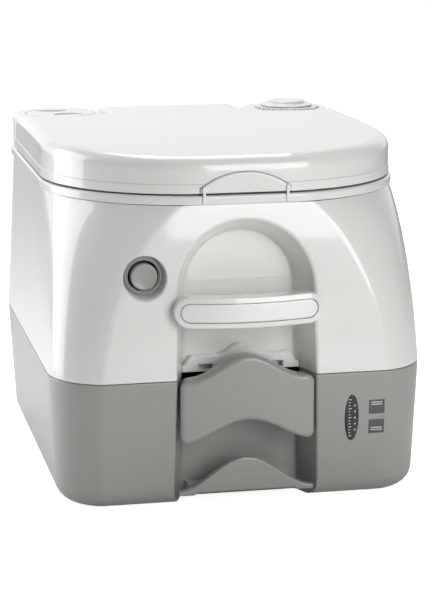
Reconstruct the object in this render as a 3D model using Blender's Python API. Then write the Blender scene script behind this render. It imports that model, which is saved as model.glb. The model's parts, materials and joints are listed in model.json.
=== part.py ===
"""Portable camping toilet: a grey waste tank below, a white flush-water tank above.

Axes: +X to the user's right seen from the front, the front faces -Y, +Z up.
The origin is on the floor, in the middle of the body. Lengths are in millimetres
until a mesh is made, which turns them into metres. Heights are counted from a datum
at the foot of the front lip, FLOOR_DROP above the floor.
"""
import math

import bmesh
import bpy

MM = 0.001
GAP = 0.3                      # clearance between neighbouring pieces

# Body: half widths and the front and rear faces at the floor, the seam and the deck
FLOOR_DROP = 8.0               # from the heights' datum down to the floor
SEAM_Z = 106.6                 # where the two tanks meet
DECK_Z = 259.0                 # top of the white shell, under the flange
FLOOR_HALF, SEAM_HALF, DECK_HALF = 162.8, 169.0, 160.8
FLOOR_FRONT, SEAM_FRONT, DECK_FRONT = -191.6, -197.0, -187.6
FLOOR_REAR, SEAM_REAR, DECK_REAR = 192.7, 197.0, 195.0
REAR_RADIUS = 45.0             # rear corners in plan
CREASE = 13.0                  # degrees between the flat front and the rounded corner
ARCH_HALF, ARCH_Z, ARCH_RISE = 127.3, 86.0, 194.0   # the flat front is half an ellipse
TANK_FILLET = 16.0
TANK_WALL = 4.0
SHELL_WALL = 3.2

# Front alcove with its arched head
ALCOVE_RADIUS = 60.0
ALCOVE_Z = 184.0
ALCOVE_FLARE = 4.5             # wider at the floor than at the springing
ALCOVE_DRAFT = 12.0            # narrower at the back wall than at the front
ALCOVE_BACK = -161.0

# Flange, lid and seat
FLANGE_TOP = 266.8
FLANGE_HALF, FLANGE_FRONT, FLANGE_REAR = 163.0, -190.0, 197.0
LID_HALF, LID_FRONT, LID_FLAT = 161.0, -188.0, 30.0
LID_BOTTOM, LID_TOP = 268.6, 300.5
LID_ROUND = 9.0
LID_WALL = 3.0
LID_CROWN, CROWN_Y = 4.5, 40.0  # the lid's top arches from front to rear
HINGE_Y = 181.0
LID_REAR = HINGE_Y + LID_ROUND
SEAT_BOTTOM, SEAT_TOP = 269.2, 283.0
SEAT_MARGIN = 8.0              # how far the seat's outline lies inside the lid's
SEAT_REAR = 152.0
KNUCKLE_RADIUS = 9.0
PIN_RADIUS = 3.5
# Stretches of the hinge line on the right half, mirrored on the left
CENTRE_KNUCKLE = 21.6          # the lid's middle roll ends here
DECK_KNUCKLES = ((22.0, 33.4), (56.0, 63.0))
SEAT_KNUCKLE = (34.0, 45.4)
LID_KNUCKLE = (45.8, 55.6)

# Towers at the rear corners: filler on the left, pump on the right
TOWER_X, TOWER_Y, TOWER_RADIUS = 116.0, 147.0, 45.0
TOWER_TOP = 300.5
FILLER_X, PUMP_X = -114.0, 118.5
TOWER_SCOOP = 48.0             # radius of the lid's scoop around a tower
CAP_SEAT, PUMP_SEAT = TOWER_TOP - 11.5, TOWER_TOP - 4.5
CAP_RADIUS, NECK_RADIUS = 33.4, 27.0
CYLINDER_FLOOR, PUMP_OUTLET_Z = 178.0, 185.0
PLUNGER_RADIUS = 17.0

# Cutters run past the body: up to here over the deck, over the waste tank and behind it
ABOVE, CUT_TOP, BEHIND = 320.0, 120.0, 210.0

# Bowl
BOWL_Y = -8.0                  # middle of the outlet
OUTLET_RADIUS = 45.0
BOWL_WALL = 3.0
NOZZLE_RADIUS = 5.0            # the rinse nozzle goes through the bowl's wall on the left

# Slide valve
BLADE_HALF, BLADE_REAR, BLADE_Z = 52.0, 38.0, 97.3
BLADE_THICK = 4.0
CHANNEL_HALF, CHANNEL_REAR, CHANNEL_Z = 66.0, 62.0, 92.0
GRIP_HALF, GRIP_FRONT, GRIP_DEPTH = 60.0, -204.0, 16.0
GRIP_BOTTOM, GRIP_HEIGHT, GRIP_RISE = 49.0, 60.0, 20.5
GRIP_TAPER = 0.965             # narrower at the rear, to clear the alcove's draft

# Small fittings on the front
BUTTON_X, BUTTON_Z = -89.3, 198.3
LEVEL_X, LEVEL_Z = 95.3, 65.0
LATCH_HALF, LATCH_LOW, LATCH_RISE = 40.0, 273.0, 14.0
HANDLE_HALF, HANDLE_RADIUS, HANDLE_Z = 66.0, 13.5, 169.0
HANDLE_BACK, HANDLE_FRONT, HANDLE_BOW = -194.4, -204.5, 7.0

# Rear bay with the pour-out spout
BAY_LEFT, BAY_RIGHT, BAY_FRONT, BAY_FLOOR = -122.0, 62.0, 141.0, 60.0
NECK_X, NECK_Y, SPOUT_Z = 35.0, 166.0, 83.5
SPOUT_RADIUS, SPOUT_BORE, SPOUT_END = 19.0, 16.0, -99.5
VENT_X, VENT_Y = 125.0, 110.0

# Rear latch between the tanks, about a pin along X
REAR_LATCH_X, REAR_LATCH_Y, REAR_LATCH_Z = 115.0, 203.0, 142.0

WHITE = (0.86, 0.86, 0.84)
GREY = (0.36, 0.37, 0.35)
DARK = (0.03, 0.03, 0.035)
RUBBER = (0.05, 0.05, 0.05)
SILVER = (0.62, 0.63, 0.64)


# ---------------------------------------------------------------- shape helpers

def blend(start, end, share):
    return start + (end - start) * share


def arc(centre_x, centre_y, radius, start, end, steps):
    """Points along a circle from one angle to another, in degrees."""
    angles = [math.radians(blend(start, end, i / steps)) for i in range(steps + 1)]
    return [(centre_x + radius * math.cos(a), centre_y + radius * math.sin(a)) for a in angles]


def mirror_x(right_side):
    """Close an outline from its right half, listed from front to rear."""
    return right_side + [(-x, y) for x, y in reversed(right_side)]


def body_at(z):
    """Half width, front, rear and half width of the flat front at a height."""
    if z <= SEAM_Z:
        share = (z + FLOOR_DROP) / (SEAM_Z + FLOOR_DROP)
        half, front, rear = (blend(FLOOR_HALF, SEAM_HALF, share), blend(FLOOR_FRONT, SEAM_FRONT, share),
                             blend(FLOOR_REAR, SEAM_REAR, share))
    else:
        share = (z - SEAM_Z) / (DECK_Z - SEAM_Z)
        half, front, rear = (blend(SEAM_HALF, DECK_HALF, share), blend(SEAM_FRONT, DECK_FRONT, share),
                             blend(SEAM_REAR, DECK_REAR, share))
    lift = max(z - ARCH_Z, 0.0) / ARCH_RISE
    return half, front, rear, ARCH_HALF * math.sqrt(1.0 - lift * lift)


def body_outline(z, inset=0.0, steps=7):
    """Plan outline of the body: flat front, creased corners, rounded rear corners."""
    half, front, rear, flat = body_at(z)
    crease = math.radians(CREASE)
    radius = (half - flat) / (1.0 - math.sin(crease))
    centre_x = half - radius
    centre_y = front + radius * math.cos(crease)
    start = math.degrees(math.acos((centre_y - front - inset) / (radius - inset))) - 90.0
    right = arc(centre_x, centre_y, radius - inset, start, 0.0, steps)
    right += arc(half - REAR_RADIUS, rear - REAR_RADIUS, REAR_RADIUS - inset, 0.0, 90.0, 5)
    return mirror_x(right)


def both_sides(span):
    """A stretch along X on the left and on the right, each with its name."""
    low, high = span
    return ((-high, -low, "left"), (low, high, "right"))


def lid_crown(y):
    """How far the lid's top stands above its front edge."""
    return LID_CROWN * (1.0 - ((y - CROWN_Y) / (CROWN_Y - LID_FRONT)) ** 2)


def rim_outline(half, front, rear, inset=0.0):
    """Plan outline of the flange: wide round front corners and rounded rear corners."""
    radius = half - LID_FLAT
    right = arc(LID_FLAT, front + radius, radius - inset, -90.0, 0.0, 12)
    right += arc(half - REAR_RADIUS, rear - REAR_RADIUS, REAR_RADIUS - inset, 0.0, 90.0, 6)
    return mirror_x(right)


def lid_outline(inset, rear=LID_REAR):
    """Plan outline of the lid, scooped out around the two rear towers."""
    radius = LID_HALF - LID_FLAT
    half = LID_HALF - inset
    scoop = TOWER_SCOOP + inset
    rise = math.sqrt(max(scoop ** 2 - (half - TOWER_X) ** 2, 0.0))
    right = arc(LID_FLAT, LID_FRONT + radius, radius - inset, -90.0, 0.0, 12)
    start = -math.degrees(math.atan2(rise, half - TOWER_X))
    right += arc(TOWER_X, TOWER_Y, scoop, start, -180.0, 12)
    right.append((TOWER_X - scoop, rear))
    return mirror_x(right)


def ellipse(centre_y, half_x, half_y, steps=28):
    angles = [2.0 * math.pi * i / steps for i in range(steps)]
    return [(half_x * math.cos(a), centre_y + half_y * math.sin(a)) for a in angles]


def wave(x, half=62.0):
    """Bell curve from 1 in the middle to 0 at the ends."""
    return 0.5 * (1.0 + math.cos(math.pi * min(abs(x) / half, 1.0)))


def at_height(outline, z):
    return [(x, y, z) for x, y in outline]


def material(name, colour, roughness, metallic=0.0, alpha=1.0):
    made = bpy.data.materials.new(name)
    made.use_nodes = True
    shader = made.node_tree.nodes["Principled BSDF"]
    shader.inputs["Base Color"].default_value = (*colour, 1.0)
    shader.inputs["Roughness"].default_value = roughness
    shader.inputs["Metallic"].default_value = metallic
    shader.inputs["Alpha"].default_value = alpha
    return made


def add_object(name, verts, faces, origin, look):
    """Make one object from millimetre points, with its origin where its joint turns or slides."""
    mesh = bpy.data.meshes.new(name)
    local = [tuple((p - o) * MM for p, o in zip(point, origin)) for point in verts]
    mesh.from_pydata(local, [], faces)
    work = bmesh.new()
    work.from_mesh(mesh)
    bmesh.ops.remove_doubles(work, verts=work.verts, dist=1e-6)
    bmesh.ops.recalc_face_normals(work, faces=work.faces)
    work.to_mesh(mesh)
    work.free()
    made = bpy.data.objects.new(name, mesh)
    made.location = (origin[0] * MM, origin[1] * MM, (origin[2] + FLOOR_DROP) * MM)
    bpy.context.scene.collection.objects.link(made)
    if look is None:
        made.hide_render = True
        made.display_type = "WIRE"
    else:
        colour, roughness, metallic = look
        mesh.materials.append(material(name, colour, roughness, metallic))
        mesh.shade_smooth()
        mesh.set_sharp_from_angle(angle=math.radians(35))
    return made


def cap_strips(count, shift):
    """Faces that fill a bowed outline in strips, each joining point k to its mirror image, shift - k."""
    strips = []
    for k in range(count // 2):
        corners = (k, k + 1, (shift - k - 1) % count, (shift - k) % count)
        face = tuple(dict.fromkeys(corners))
        if len(face) > 2:
            strips.append(face)
    return strips


def loft(name, rings, look=None, origin=(0, 0, 0), mirror_shift=None):
    """Skin a stack of outlines that have the same number of points, and cap both ends."""
    count = len(rings[0])
    verts = [point for ring in rings for point in ring]
    faces = []
    for low in range(0, len(verts) - count, count):
        for j in range(count):
            k = (j + 1) % count
            faces.append((low + j, low + k, low + count + k, low + count + j))
    cap = [tuple(range(count))] if mirror_shift is None else cap_strips(count, mirror_shift)
    for start in (0, len(verts) - count):
        faces += [tuple(start + corner for corner in face) for face in cap]
    return add_object(name, verts, faces, origin, look)


def prism(name, outline, plane, low, high, look=None, origin=(0, 0, 0)):
    """Extrude a flat outline: plane "xy" along Z, "xz" along Y, "yz" along X."""
    place = {"xy": lambda a, b, c: (a, b, c), "xz": lambda a, b, c: (a, c, b),
             "yz": lambda a, b, c: (c, a, b)}[plane]
    rings = [[place(a, b, level) for a, b in outline] for level in (low, high)]
    return loft(name, rings, look, origin)


def box(name, low, high, look=None, origin=(0, 0, 0)):
    outline = [(low[0], low[1]), (high[0], low[1]), (high[0], high[1]), (low[0], high[1])]
    return prism(name, outline, "xy", low[2], high[2], look, origin)


def turned(name, profile, centre, axis="z", look=None, steps=24, origin=None):
    """Turn a closed (radius, height) profile about an axis through centre."""
    place = {"z": lambda r, s, h: (centre[0] + r, centre[1] + s, centre[2] + h),
             "y": lambda r, s, h: (centre[0] + r, centre[1] + h, centre[2] + s),
             "x": lambda r, s, h: (centre[0] + h, centre[1] + r, centre[2] + s)}[axis]
    verts = []
    for i in range(steps):
        angle = 2.0 * math.pi * i / steps
        verts += [place(r * math.cos(angle), r * math.sin(angle), h) for r, h in profile]
    count = len(profile)
    faces = []
    for i in range(steps):
        here, after = i * count, ((i + 1) % steps) * count
        for j in range(count):
            k = (j + 1) % count
            if profile[j][0] == 0.0 and profile[k][0] == 0.0:
                continue
            faces.append((here + j, here + k, after + k, after + j))
    return add_object(name, verts, faces, origin or centre, look)


def rod(name, radius, centre, length, axis="z", look=None, steps=24, origin=None):
    """Cylinder that starts at centre and runs along +axis."""
    profile = [(0.0, 0.0), (radius, 0.0), (radius, length), (0.0, length)]
    return turned(name, profile, centre, axis, look, steps, origin)


def ring(name, inner, outer, centre, length, axis="z", look=None, steps=24, origin=None):
    profile = [(inner, 0.0), (outer, 0.0), (outer, length), (inner, length)]
    return turned(name, profile, centre, axis, look, steps, origin)


def tube_along(name, path, radius, look, steps=8):
    """Round hose along a smooth path through a few points."""
    points = []
    for i in range(len(path) - 1):
        before, after = path[max(i - 1, 0)], path[min(i + 2, len(path) - 1)]
        for j in range(5):
            t = j / 5.0
            points.append([0.5 * (2 * b + (c - a) * t + (2 * a - 5 * b + 4 * c - d) * t * t
                                  + (3 * b - a - 3 * c + d) * t ** 3)
                           for a, b, c, d in zip(before, path[i], path[i + 1], after)])
    points.append(list(path[-1]))
    rings = []
    for i, point in enumerate(points):
        ahead, behind = points[min(i + 1, len(points) - 1)], points[max(i - 1, 0)]
        heading = [a - b for a, b in zip(ahead, behind)]
        size = math.sqrt(sum(h * h for h in heading))
        heading = [h / size for h in heading]
        flat = math.hypot(heading[0], heading[1])
        side = (-heading[1] / flat, heading[0] / flat, 0.0)
        up = (-heading[2] * side[1], heading[2] * side[0], flat)
        ring_points = []
        for k in range(steps):
            a = 2.0 * math.pi * k / steps
            ring_points.append(tuple(point[n] + radius * (math.cos(a) * side[n] + math.sin(a) * up[n])
                                     for n in range(3)))
        rings.append(ring_points)
    return loft(name, rings, look)


def boolean(target, tool, operation):
    change = target.modifiers.new(tool.name, "BOOLEAN")
    change.operation = operation
    change.solver = "EXACT"
    change.object = tool


def cut(target, *tools):
    for tool in tools:
        boolean(target, tool, "DIFFERENCE")


def fuse(target, *tools):
    for tool in tools:
        boolean(target, tool, "UNION")


HINGE_Z = LID_TOP + lid_crown(HINGE_Y) - KNUCKLE_RADIUS    # the lid's rear edge rolls around the hinge


# ---------------------------------------------------------------- finishes

WHITE_GLOSS = (WHITE, 0.25, 0.0)
GREY_SATIN = (GREY, 0.42, 0.0)
BLACK_SATIN = (DARK, 0.4, 0.0)
SOFT_RUBBER = (RUBBER, 0.8, 0.0)
SATIN_SILVER = (SILVER, 0.35, 0.6)
STEEL = ((0.6, 0.6, 0.6), 0.3, 1.0)


# ---------------------------------------------------------------- shared cutters

def alcove(name, grow=0.0, low=-20.0):
    """Arched alcove in the front, from below the floor up; grow widens it by a wall."""
    rings = []
    back = ALCOVE_BACK + grow
    stages = ((-230.0, 0.0), (SEAM_FRONT, 0.0), (back - 5.0, ALCOVE_DRAFT * 0.75), (back, ALCOVE_DRAFT))
    for y, narrow in stages:
        radius = ALCOVE_RADIUS + grow - narrow
        outline = [(radius + ALCOVE_FLARE, low)] + arc(0.0, ALCOVE_Z, radius, 0.0, 180.0, 20)
        outline.append((-radius - ALCOVE_FLARE, low))
        rings.append([(x, y, z) for x, z in outline])
    return loft(name, rings)


def body_block(name, heights_and_insets, look=None):
    return loft(name, [at_height(body_outline(z, inset), z) for z, inset in heights_and_insets], look)


# ---------------------------------------------------------------- waste tank

def make_waste_tank():
    """Grey lower tank: hollow, with a spout bay, a valve channel and a pocket for the gauge."""
    fillet = [(TANK_FILLET * (1 - math.cos(math.radians(a))) - FLOOR_DROP,
               TANK_FILLET * (1 - math.sin(math.radians(a)))) for a in (0, 30, 60, 90)]
    rim = [(SEAM_Z - 4.0, 0.0), (SEAM_Z - 1.6, 0.8), (SEAM_Z - GAP, 3.2)]
    tank = body_block("waste_tank_shell", fillet + rim, GREY_SATIN)

    cavity = body_block("tank_cavity", [(z + TANK_WALL, inset + TANK_WALL) for z, inset in fillet]
                        + [(SEAM_Z - TANK_WALL, TANK_WALL)])
    wall = TANK_WALL
    cut(cavity, alcove("cavity_alcove", wall),
        box("cavity_bay", (BAY_LEFT - wall, BAY_FRONT - wall, BAY_FLOOR - wall),
            (BAY_RIGHT + wall, BEHIND, CUT_TOP)),
        box("cavity_channel", (-CHANNEL_HALF - wall, -170, CHANNEL_Z - wall),
            (CHANNEL_HALF + wall, CHANNEL_REAR + wall, CUT_TOP)))
    cut(tank, cavity, alcove("tank_alcove"),
        box("bay", (BAY_LEFT, BAY_FRONT, BAY_FLOOR), (BAY_RIGHT, BEHIND, CUT_TOP)),
        box("channel", (-CHANNEL_HALF, -170, CHANNEL_Z), (CHANNEL_HALF, CHANNEL_REAR, CUT_TOP)),
        rod("tank_inlet", OUTLET_RADIUS - 3, (0, BOWL_Y, 80), 20),
        rod("spout_hole", SPOUT_BORE + GAP, (NECK_X, NECK_Y, 50), 20),
        rod("vent_hole", 5.0, (VENT_X, VENT_Y, 95), 20),
        level_cutter())


def level_outline(grow=0.0, half_width=6.0, half_height=20.7, steps=8):
    """Pointed oval of two circular arcs that meet at the top and the bottom."""
    half_width, half_height = half_width + grow, half_height + grow
    radius = (half_width ** 2 + half_height ** 2) / (2 * half_width)
    sweep = math.degrees(math.asin(half_height / radius))
    right = arc(half_width - radius, 0.0, radius, -sweep, sweep, steps)
    left = [(-x, -z) for x, z in right[1:-1]]
    return [(LEVEL_X + x, LEVEL_Z + z) for x, z in right + left]


def level_cutter():
    return prism("level_pocket", level_outline(GAP), "xz", -200.0, -192.2)


def make_level_gauge():
    """Tinted window over a scale plate, let into the front."""
    prism("level_window", level_outline(), "xz", -196.1, -194.0, BLACK_SATIN)
    prism("level_scale", level_outline(-0.5), "xz", -193.6, -192.6, (DARK, 0.6, 0.0))


def make_valve():
    """Slide valve on top of the waste tank: frame, sliding blade, cover plate, seal and screws."""
    hole = OUTLET_RADIUS - 3
    side = CHANNEL_HALF - GAP
    rear = CHANNEL_REAR - GAP
    top = BLADE_Z + BLADE_THICK + GAP
    frame = box("valve_frame", (-side, -159, CHANNEL_Z + GAP), (side, rear, top - GAP), GREY_SATIN)
    cut(frame, rod("frame_hole", hole, (0, BOWL_Y, 80), 40),
        box("frame_track", (-BLADE_HALF - GAP, -170, BLADE_Z - GAP),
            (BLADE_HALF + GAP, BLADE_REAR + 2, CUT_TOP)))
    cover = box("valve_cover", (-side, -140, top), (side, rear, SEAM_Z - GAP), GREY_SATIN)
    cut(cover, rod("cover_hole", hole + 7, (0, BOWL_Y, 80), 40, steps=32))
    ring("valve_seal", hole, hole + 7 - GAP, (0, BOWL_Y, top), SEAM_Z - 2 * GAP - top,
         look=SOFT_RUBBER, steps=32)
    screw_seat = SEAM_Z - 3.2
    for i, (x, y) in enumerate(((-61, -130), (61, -130), (-61, 54), (61, 54))):
        cut(cover, rod("cover_screw_hole_%d" % i, 3.4, (x, y, screw_seat), 10, steps=12))
        turned("valve_screw_%d" % (i + 1), [(0, 0), (3.0, 0), (3.0, 1.8), (0, 2.4)],
               (x, y, screw_seat + GAP), look=STEEL, steps=12)

    box("valve_blade", (-BLADE_HALF, GRIP_FRONT + 7.6, BLADE_Z),
        (BLADE_HALF, BLADE_REAR, BLADE_Z + BLADE_THICK), BLACK_SATIN, origin=(0, GRIP_FRONT, BLADE_Z))


def grip_outline(inset=0.0, steps=16):
    """Wave-shaped pull grip: the top and bottom edges rise together in the middle."""
    half = GRIP_HALF - inset
    xs = [blend(-half, half, i / steps) for i in range(steps + 1)]
    bottom = [(x, GRIP_BOTTOM + inset + GRIP_RISE * wave(x)) for x in xs]
    top = [(x, GRIP_BOTTOM + GRIP_HEIGHT - inset + GRIP_RISE * wave(x)) for x in reversed(xs)]
    return bottom + top


def make_valve_grip():
    """Hollow grip, open to the rear, with a front that bulges towards the user."""
    bulge, lip = 4.0, 3.0
    rings = []
    for y, inset in ((GRIP_FRONT, lip), (GRIP_FRONT + lip, 0.0), (GRIP_FRONT + GRIP_DEPTH, 0.0)):
        depth = bulge if inset else bulge / 2
        rings.append([(x, y + depth * (x / GRIP_HALF) ** 2 if y < -190 else y, z)
                      for x, z in grip_outline(inset)])
    rings[-1] = [(x * GRIP_TAPER, y, z) for x, y, z in rings[-1]]
    grip = loft("valve_grip", rings, GREY_SATIN, origin=(0, GRIP_FRONT, BLADE_Z), mirror_shift=-1)
    wall = 3.2
    inside = [[(x * GRIP_TAPER, y, z) for x, z in grip_outline(wall)]
              for y in (GRIP_FRONT + bulge + wall, -170.0)]
    cut(grip, loft("grip_hollow", inside))


def lip_outline(steps=18):
    """Wave that stands up from the floor in front of the alcove, on two low feet."""
    half, base, low, rise, foot, lift = 61.0, 1.0, 5.5, 28.5, 14.0, 2.0
    xs = [blend(-half, half, i / steps) for i in range(steps + 1)]
    top = [(x, low + rise * wave(x)) for x in reversed(xs)]
    return [(-half, base), (-half + foot, base), (-half + foot + lift, base + lift),
            (half - foot - lift, base + lift), (half - foot, base), (half, base)] + top


def make_front_lip():
    lip = prism("front_lip", lip_outline(), "xz", -194.0, -188.0, GREY_SATIN)
    fuse(lip, box("lip_web", (-49, -189, 2.2), (49, ALCOVE_BACK - GAP, 6.2)))


# ---------------------------------------------------------------- pour-out spout and vent

def make_spout():
    """Swinging pour-out spout with its cap and seals, and the vent button beside it."""
    neck = (NECK_X, NECK_Y, BAY_FLOOR)
    spout = turned("pour_spout", [(0, -8), (SPOUT_BORE - 0.2, -8), (SPOUT_BORE - 0.2, 6),
                                  (SPOUT_RADIUS + 1, 6), (SPOUT_RADIUS + 1, 43.5), (0, 43.5)],
                   neck, look=WHITE_GLOSS)
    fuse(spout, rod("spout_arm", SPOUT_RADIUS, (SPOUT_END, NECK_Y, SPOUT_Z), NECK_X - SPOUT_END, "x"))
    cut(spout, rod("spout_bore_up", SPOUT_BORE - 3, (NECK_X, NECK_Y, 40), 57),
        rod("spout_bore_along", SPOUT_BORE, (SPOUT_END - 5, NECK_Y, SPOUT_Z), NECK_X - SPOUT_END, "x"))
    ring("spout_collar", SPOUT_BORE + 0.1, 24.0, (NECK_X, NECK_Y, BAY_FLOOR + GAP), 2.8, look=GREY_SATIN)
    ring("spout_seal", SPOUT_BORE - 1, SPOUT_RADIUS, (SPOUT_END - 2.2, NECK_Y, SPOUT_Z), 1.9, "x",
         SOFT_RUBBER)
    turned("spout_cap", [(0, -6.5), (20.5, -6.5), (22.0, -5), (22.0, 12), (SPOUT_RADIUS + GAP, 12),
                         (SPOUT_RADIUS + GAP, -2.5), (0, -2.5)],
           (SPOUT_END, NECK_Y, SPOUT_Z), "x", GREY_SATIN)

    turned("vent_button", [(0, -9), (3.2, -9), (3.2, -1), (4.6, -1), (4.6, -0.4), (0, -0.4)],
           (VENT_X, VENT_Y, SEAM_Z - GAP), look=BLACK_SATIN, steps=16)
    ring("vent_seal", 3.5, 4.7, (VENT_X, VENT_Y, SEAM_Z - 9), 2.0, look=SOFT_RUBBER, steps=16)


# ---------------------------------------------------------------- white flush-water tank

def make_shell():
    """White outer wall of the flush-water tank, thickened behind the flush button."""
    heights = [SEAM_Z + GAP, 120, 150, 180, 205, 225, 242, DECK_Z]
    shell = body_block("fresh_tank_shell", [(z, 0.0) for z in heights], WHITE_GLOSS)
    inside_heights = [SEAM_Z - 2, 120, 150, 180, 205, 225, 242, DECK_Z + 2]
    inside = body_block("shell_inside", [(z, SHELL_WALL) for z in inside_heights])
    cut(inside, alcove("inside_alcove", SHELL_WALL),
        rod("button_boss", 25.5, (BUTTON_X, -230.0, BUTTON_Z), 54.0, "y", steps=28))
    cut(shell, inside, alcove("shell_alcove"))
    dish = [(0, -7), (23.2, -7), (21.2, 0), (17.2, 8.6), (13.4, 8.6), (13.4, 20), (0, 20)]
    cut(shell, turned("button_dish", dish, (BUTTON_X, -190.8, BUTTON_Z), "y", steps=28))


def make_floor():
    """Floor of the flush-water tank, around the outlet and behind the alcove."""
    inset = SHELL_WALL + GAP
    floor = body_block("fresh_tank_floor", [(SEAM_Z + 0.8, inset), (SEAM_Z + 4.0, inset)], WHITE_GLOSS)
    cut(floor, alcove("floor_alcove", SHELL_WALL + GAP),
        rod("floor_outlet", OUTLET_RADIUS + 8, (0, BOWL_Y, 100), 20, steps=32))


BOWL_LEVELS = ((FLANGE_TOP, -38.0, 112.0, 122.0), (250.0, -36.0, 106.0, 112.0), (236.0, -32.0, 97.0, 98.0),
               (205.0, -27.0, 86.0, 87.0), (170.0, -20.0, 72.0, 73.0), (135.0, -11.0, 54.0, 54.0),
               (120.0, BOWL_Y, OUTLET_RADIUS, OUTLET_RADIUS),
               (SEAM_Z + 2.6, BOWL_Y, OUTLET_RADIUS, OUTLET_RADIUS))


def bowl_block(name, grow, top, bottom):
    """Bowl as a stack of ellipses that shrink towards the outlet."""
    rings = [at_height(ellipse(y, a + grow, b + grow), z) for z, y, a, b in reversed(BOWL_LEVELS)]
    rings[-1] = [(x, y, top) for x, y, _ in rings[-1]]
    rings[0] = [(x, y, bottom) for x, y, _ in rings[0]]
    return loft(name, rings)


def make_deck():
    """Deck with its flange, the two rear towers, the hinge lugs and the bowl, moulded in one."""
    edge = [(DECK_Z + GAP, 0.0), (FLANGE_TOP - 1.5, 0.0), (FLANGE_TOP, 1.5)]
    deck = loft("deck_and_bowl", [at_height(rim_outline(FLANGE_HALF, FLANGE_FRONT, FLANGE_REAR, inset), z)
                                  for z, inset in edge], WHITE_GLOSS)
    fuse(deck, bowl_block("bowl_outside", BOWL_WALL, FLANGE_TOP - 2, SEAM_Z + 2.6))
    tower_foot = FLANGE_TOP - 2.8
    tower = [(0, tower_foot), (TOWER_RADIUS, tower_foot), (TOWER_RADIUS, TOWER_TOP - 4),
             (TOWER_RADIUS - 1.2, TOWER_TOP - 1.2), (TOWER_RADIUS - 4, TOWER_TOP), (0, TOWER_TOP)]
    for side, name in ((-1, "left"), (1, "right")):
        fuse(deck, turned("tower_" + name, tower, (side * TOWER_X, TOWER_Y, 0), steps=32))
    cut(deck, bowl_block("bowl_inside", 0.0, FLANGE_TOP + 5, SEAM_Z - 5))
    cut(deck, *tower_cutters())
    cut(deck, rod("nozzle_hole", NOZZLE_RADIUS + GAP, (-125, -36, 246), 30, "x", steps=12))
    for i, span in enumerate(DECK_KNUCKLES):
        for low, high, name in both_sides(span):
            fuse(deck, hinge_lug("deck_lug_%s_%d" % (name, i), (low, high), 260, -8, 6))
    cut(deck, hinge_bore("deck_bore"))


def tower_cutters():
    """Undersides of both towers, the cap's seat and the pump's seat."""
    left, right = (FILLER_X, TOWER_Y, 0), (PUMP_X, TOWER_Y, 0)
    low = DECK_Z - 19
    cap_room, pump_room = CAP_RADIUS + 0.6, 33.0
    filler_bore = [(0, low), (NECK_RADIUS, low), (NECK_RADIUS, CAP_SEAT), (cap_room, CAP_SEAT),
                   (cap_room, ABOVE), (0, ABOVE)]
    pump_bore = [(0, low), (20.0, low), (20.0, PUMP_SEAT), (pump_room, PUMP_SEAT),
                 (pump_room, ABOVE), (0, ABOVE)]
    return (ring("filler_hollow", 31.0, TOWER_RADIUS - 5.5, left[:2] + (250,), 36.0),
            turned("filler_bore", filler_bore, left, steps=32),
            ring("pump_hollow", 24.0, TOWER_RADIUS - 5.5, right[:2] + (250,), 40.0),
            turned("pump_bore", pump_bore, right, steps=32))


def hinge_lug(name, span, bottom, front, rear):
    """Rounded knuckle around the hinge line, standing on a foot."""
    head = arc(HINGE_Y, HINGE_Z, KNUCKLE_RADIUS, 0.0, 180.0, 10)
    outline = [(HINGE_Y + front, bottom), (HINGE_Y + rear, bottom)] + head
    return prism(name, outline, "yz", span[0], span[1])


def hinge_bore(name):
    return rod(name, PIN_RADIUS + 0.25, (-70, HINGE_Y, HINGE_Z), 140, "x", steps=16)


def make_hinge_pins():
    for low, high, name in both_sides((21.0, 64.0)):
        rod("hinge_pin_" + name, PIN_RADIUS, (low, HINGE_Y, HINGE_Z), high - low, "x", STEEL, steps=16)


# ---------------------------------------------------------------- seat and lid

def make_seat():
    """Seat ring, hollow underneath, with two arms that reach back to the hinge."""
    levels = ((SEAT_BOTTOM, SEAT_MARGIN), (SEAT_TOP - 4, SEAT_MARGIN), (SEAT_TOP, SEAT_MARGIN + 4))
    seat = loft("seat", [at_height(lid_outline(inset, SEAT_REAR), z) for z, inset in levels],
                WHITE_GLOSS, origin=(0, HINGE_Y, HINGE_Z))
    cut(seat, prism("seat_hole", ellipse(-38.0, 98.0, 112.0), "xy", 250, 300))
    wall = 4.0
    hollow = prism("seat_hollow", lid_outline(SEAT_MARGIN + wall, SEAT_REAR - wall), "xy",
                   250, SEAT_TOP - wall)
    cut(hollow, prism("seat_collar", ellipse(-38.0, 98.0 + wall, 112.0 + wall), "xy", 240, 300))
    cut(seat, hollow)
    neck = [(SEAT_REAR - 10, 271), (SEAT_REAR + 16, 271), (HINGE_Y + 7.5, HINGE_Z - 5), (HINGE_Y, HINGE_Z),
            (HINGE_Y - 6, HINGE_Z + 5), (SEAT_REAR, SEAT_TOP - 1), (SEAT_REAR - 10, SEAT_TOP - 1)]
    for low, high, name in both_sides(SEAT_KNUCKLE):
        fuse(seat, prism("seat_arm_" + name, neck, "yz", low, high),
             rod("seat_knuckle_" + name, KNUCKLE_RADIUS, (low, HINGE_Y, HINGE_Z), high - low, "x"))
    cut(seat, hinge_bore("seat_bore"))


def arch_top(made, strips=10):
    """Slice a lid block across into strips, and lift everything above its skirt to the crown."""
    work = bmesh.new()
    work.from_mesh(made.data)
    for i in range(1, strips):
        y = blend(LID_FRONT, LID_REAR, i / strips) * MM - made.location.y
        bmesh.ops.bisect_plane(work, geom=work.verts[:] + work.edges[:] + work.faces[:],
                               plane_co=(0.0, y, 0.0), plane_no=(0.0, 1.0, 0.0), dist=1e-6)
    for vert in work.verts:
        height = (vert.co.z + made.location.z) / MM - FLOOR_DROP
        if height > LID_TOP - LID_ROUND - GAP:
            vert.co.z += lid_crown((vert.co.y + made.location.y) / MM) * MM
    work.to_mesh(made.data)
    work.free()
    return made


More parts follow.
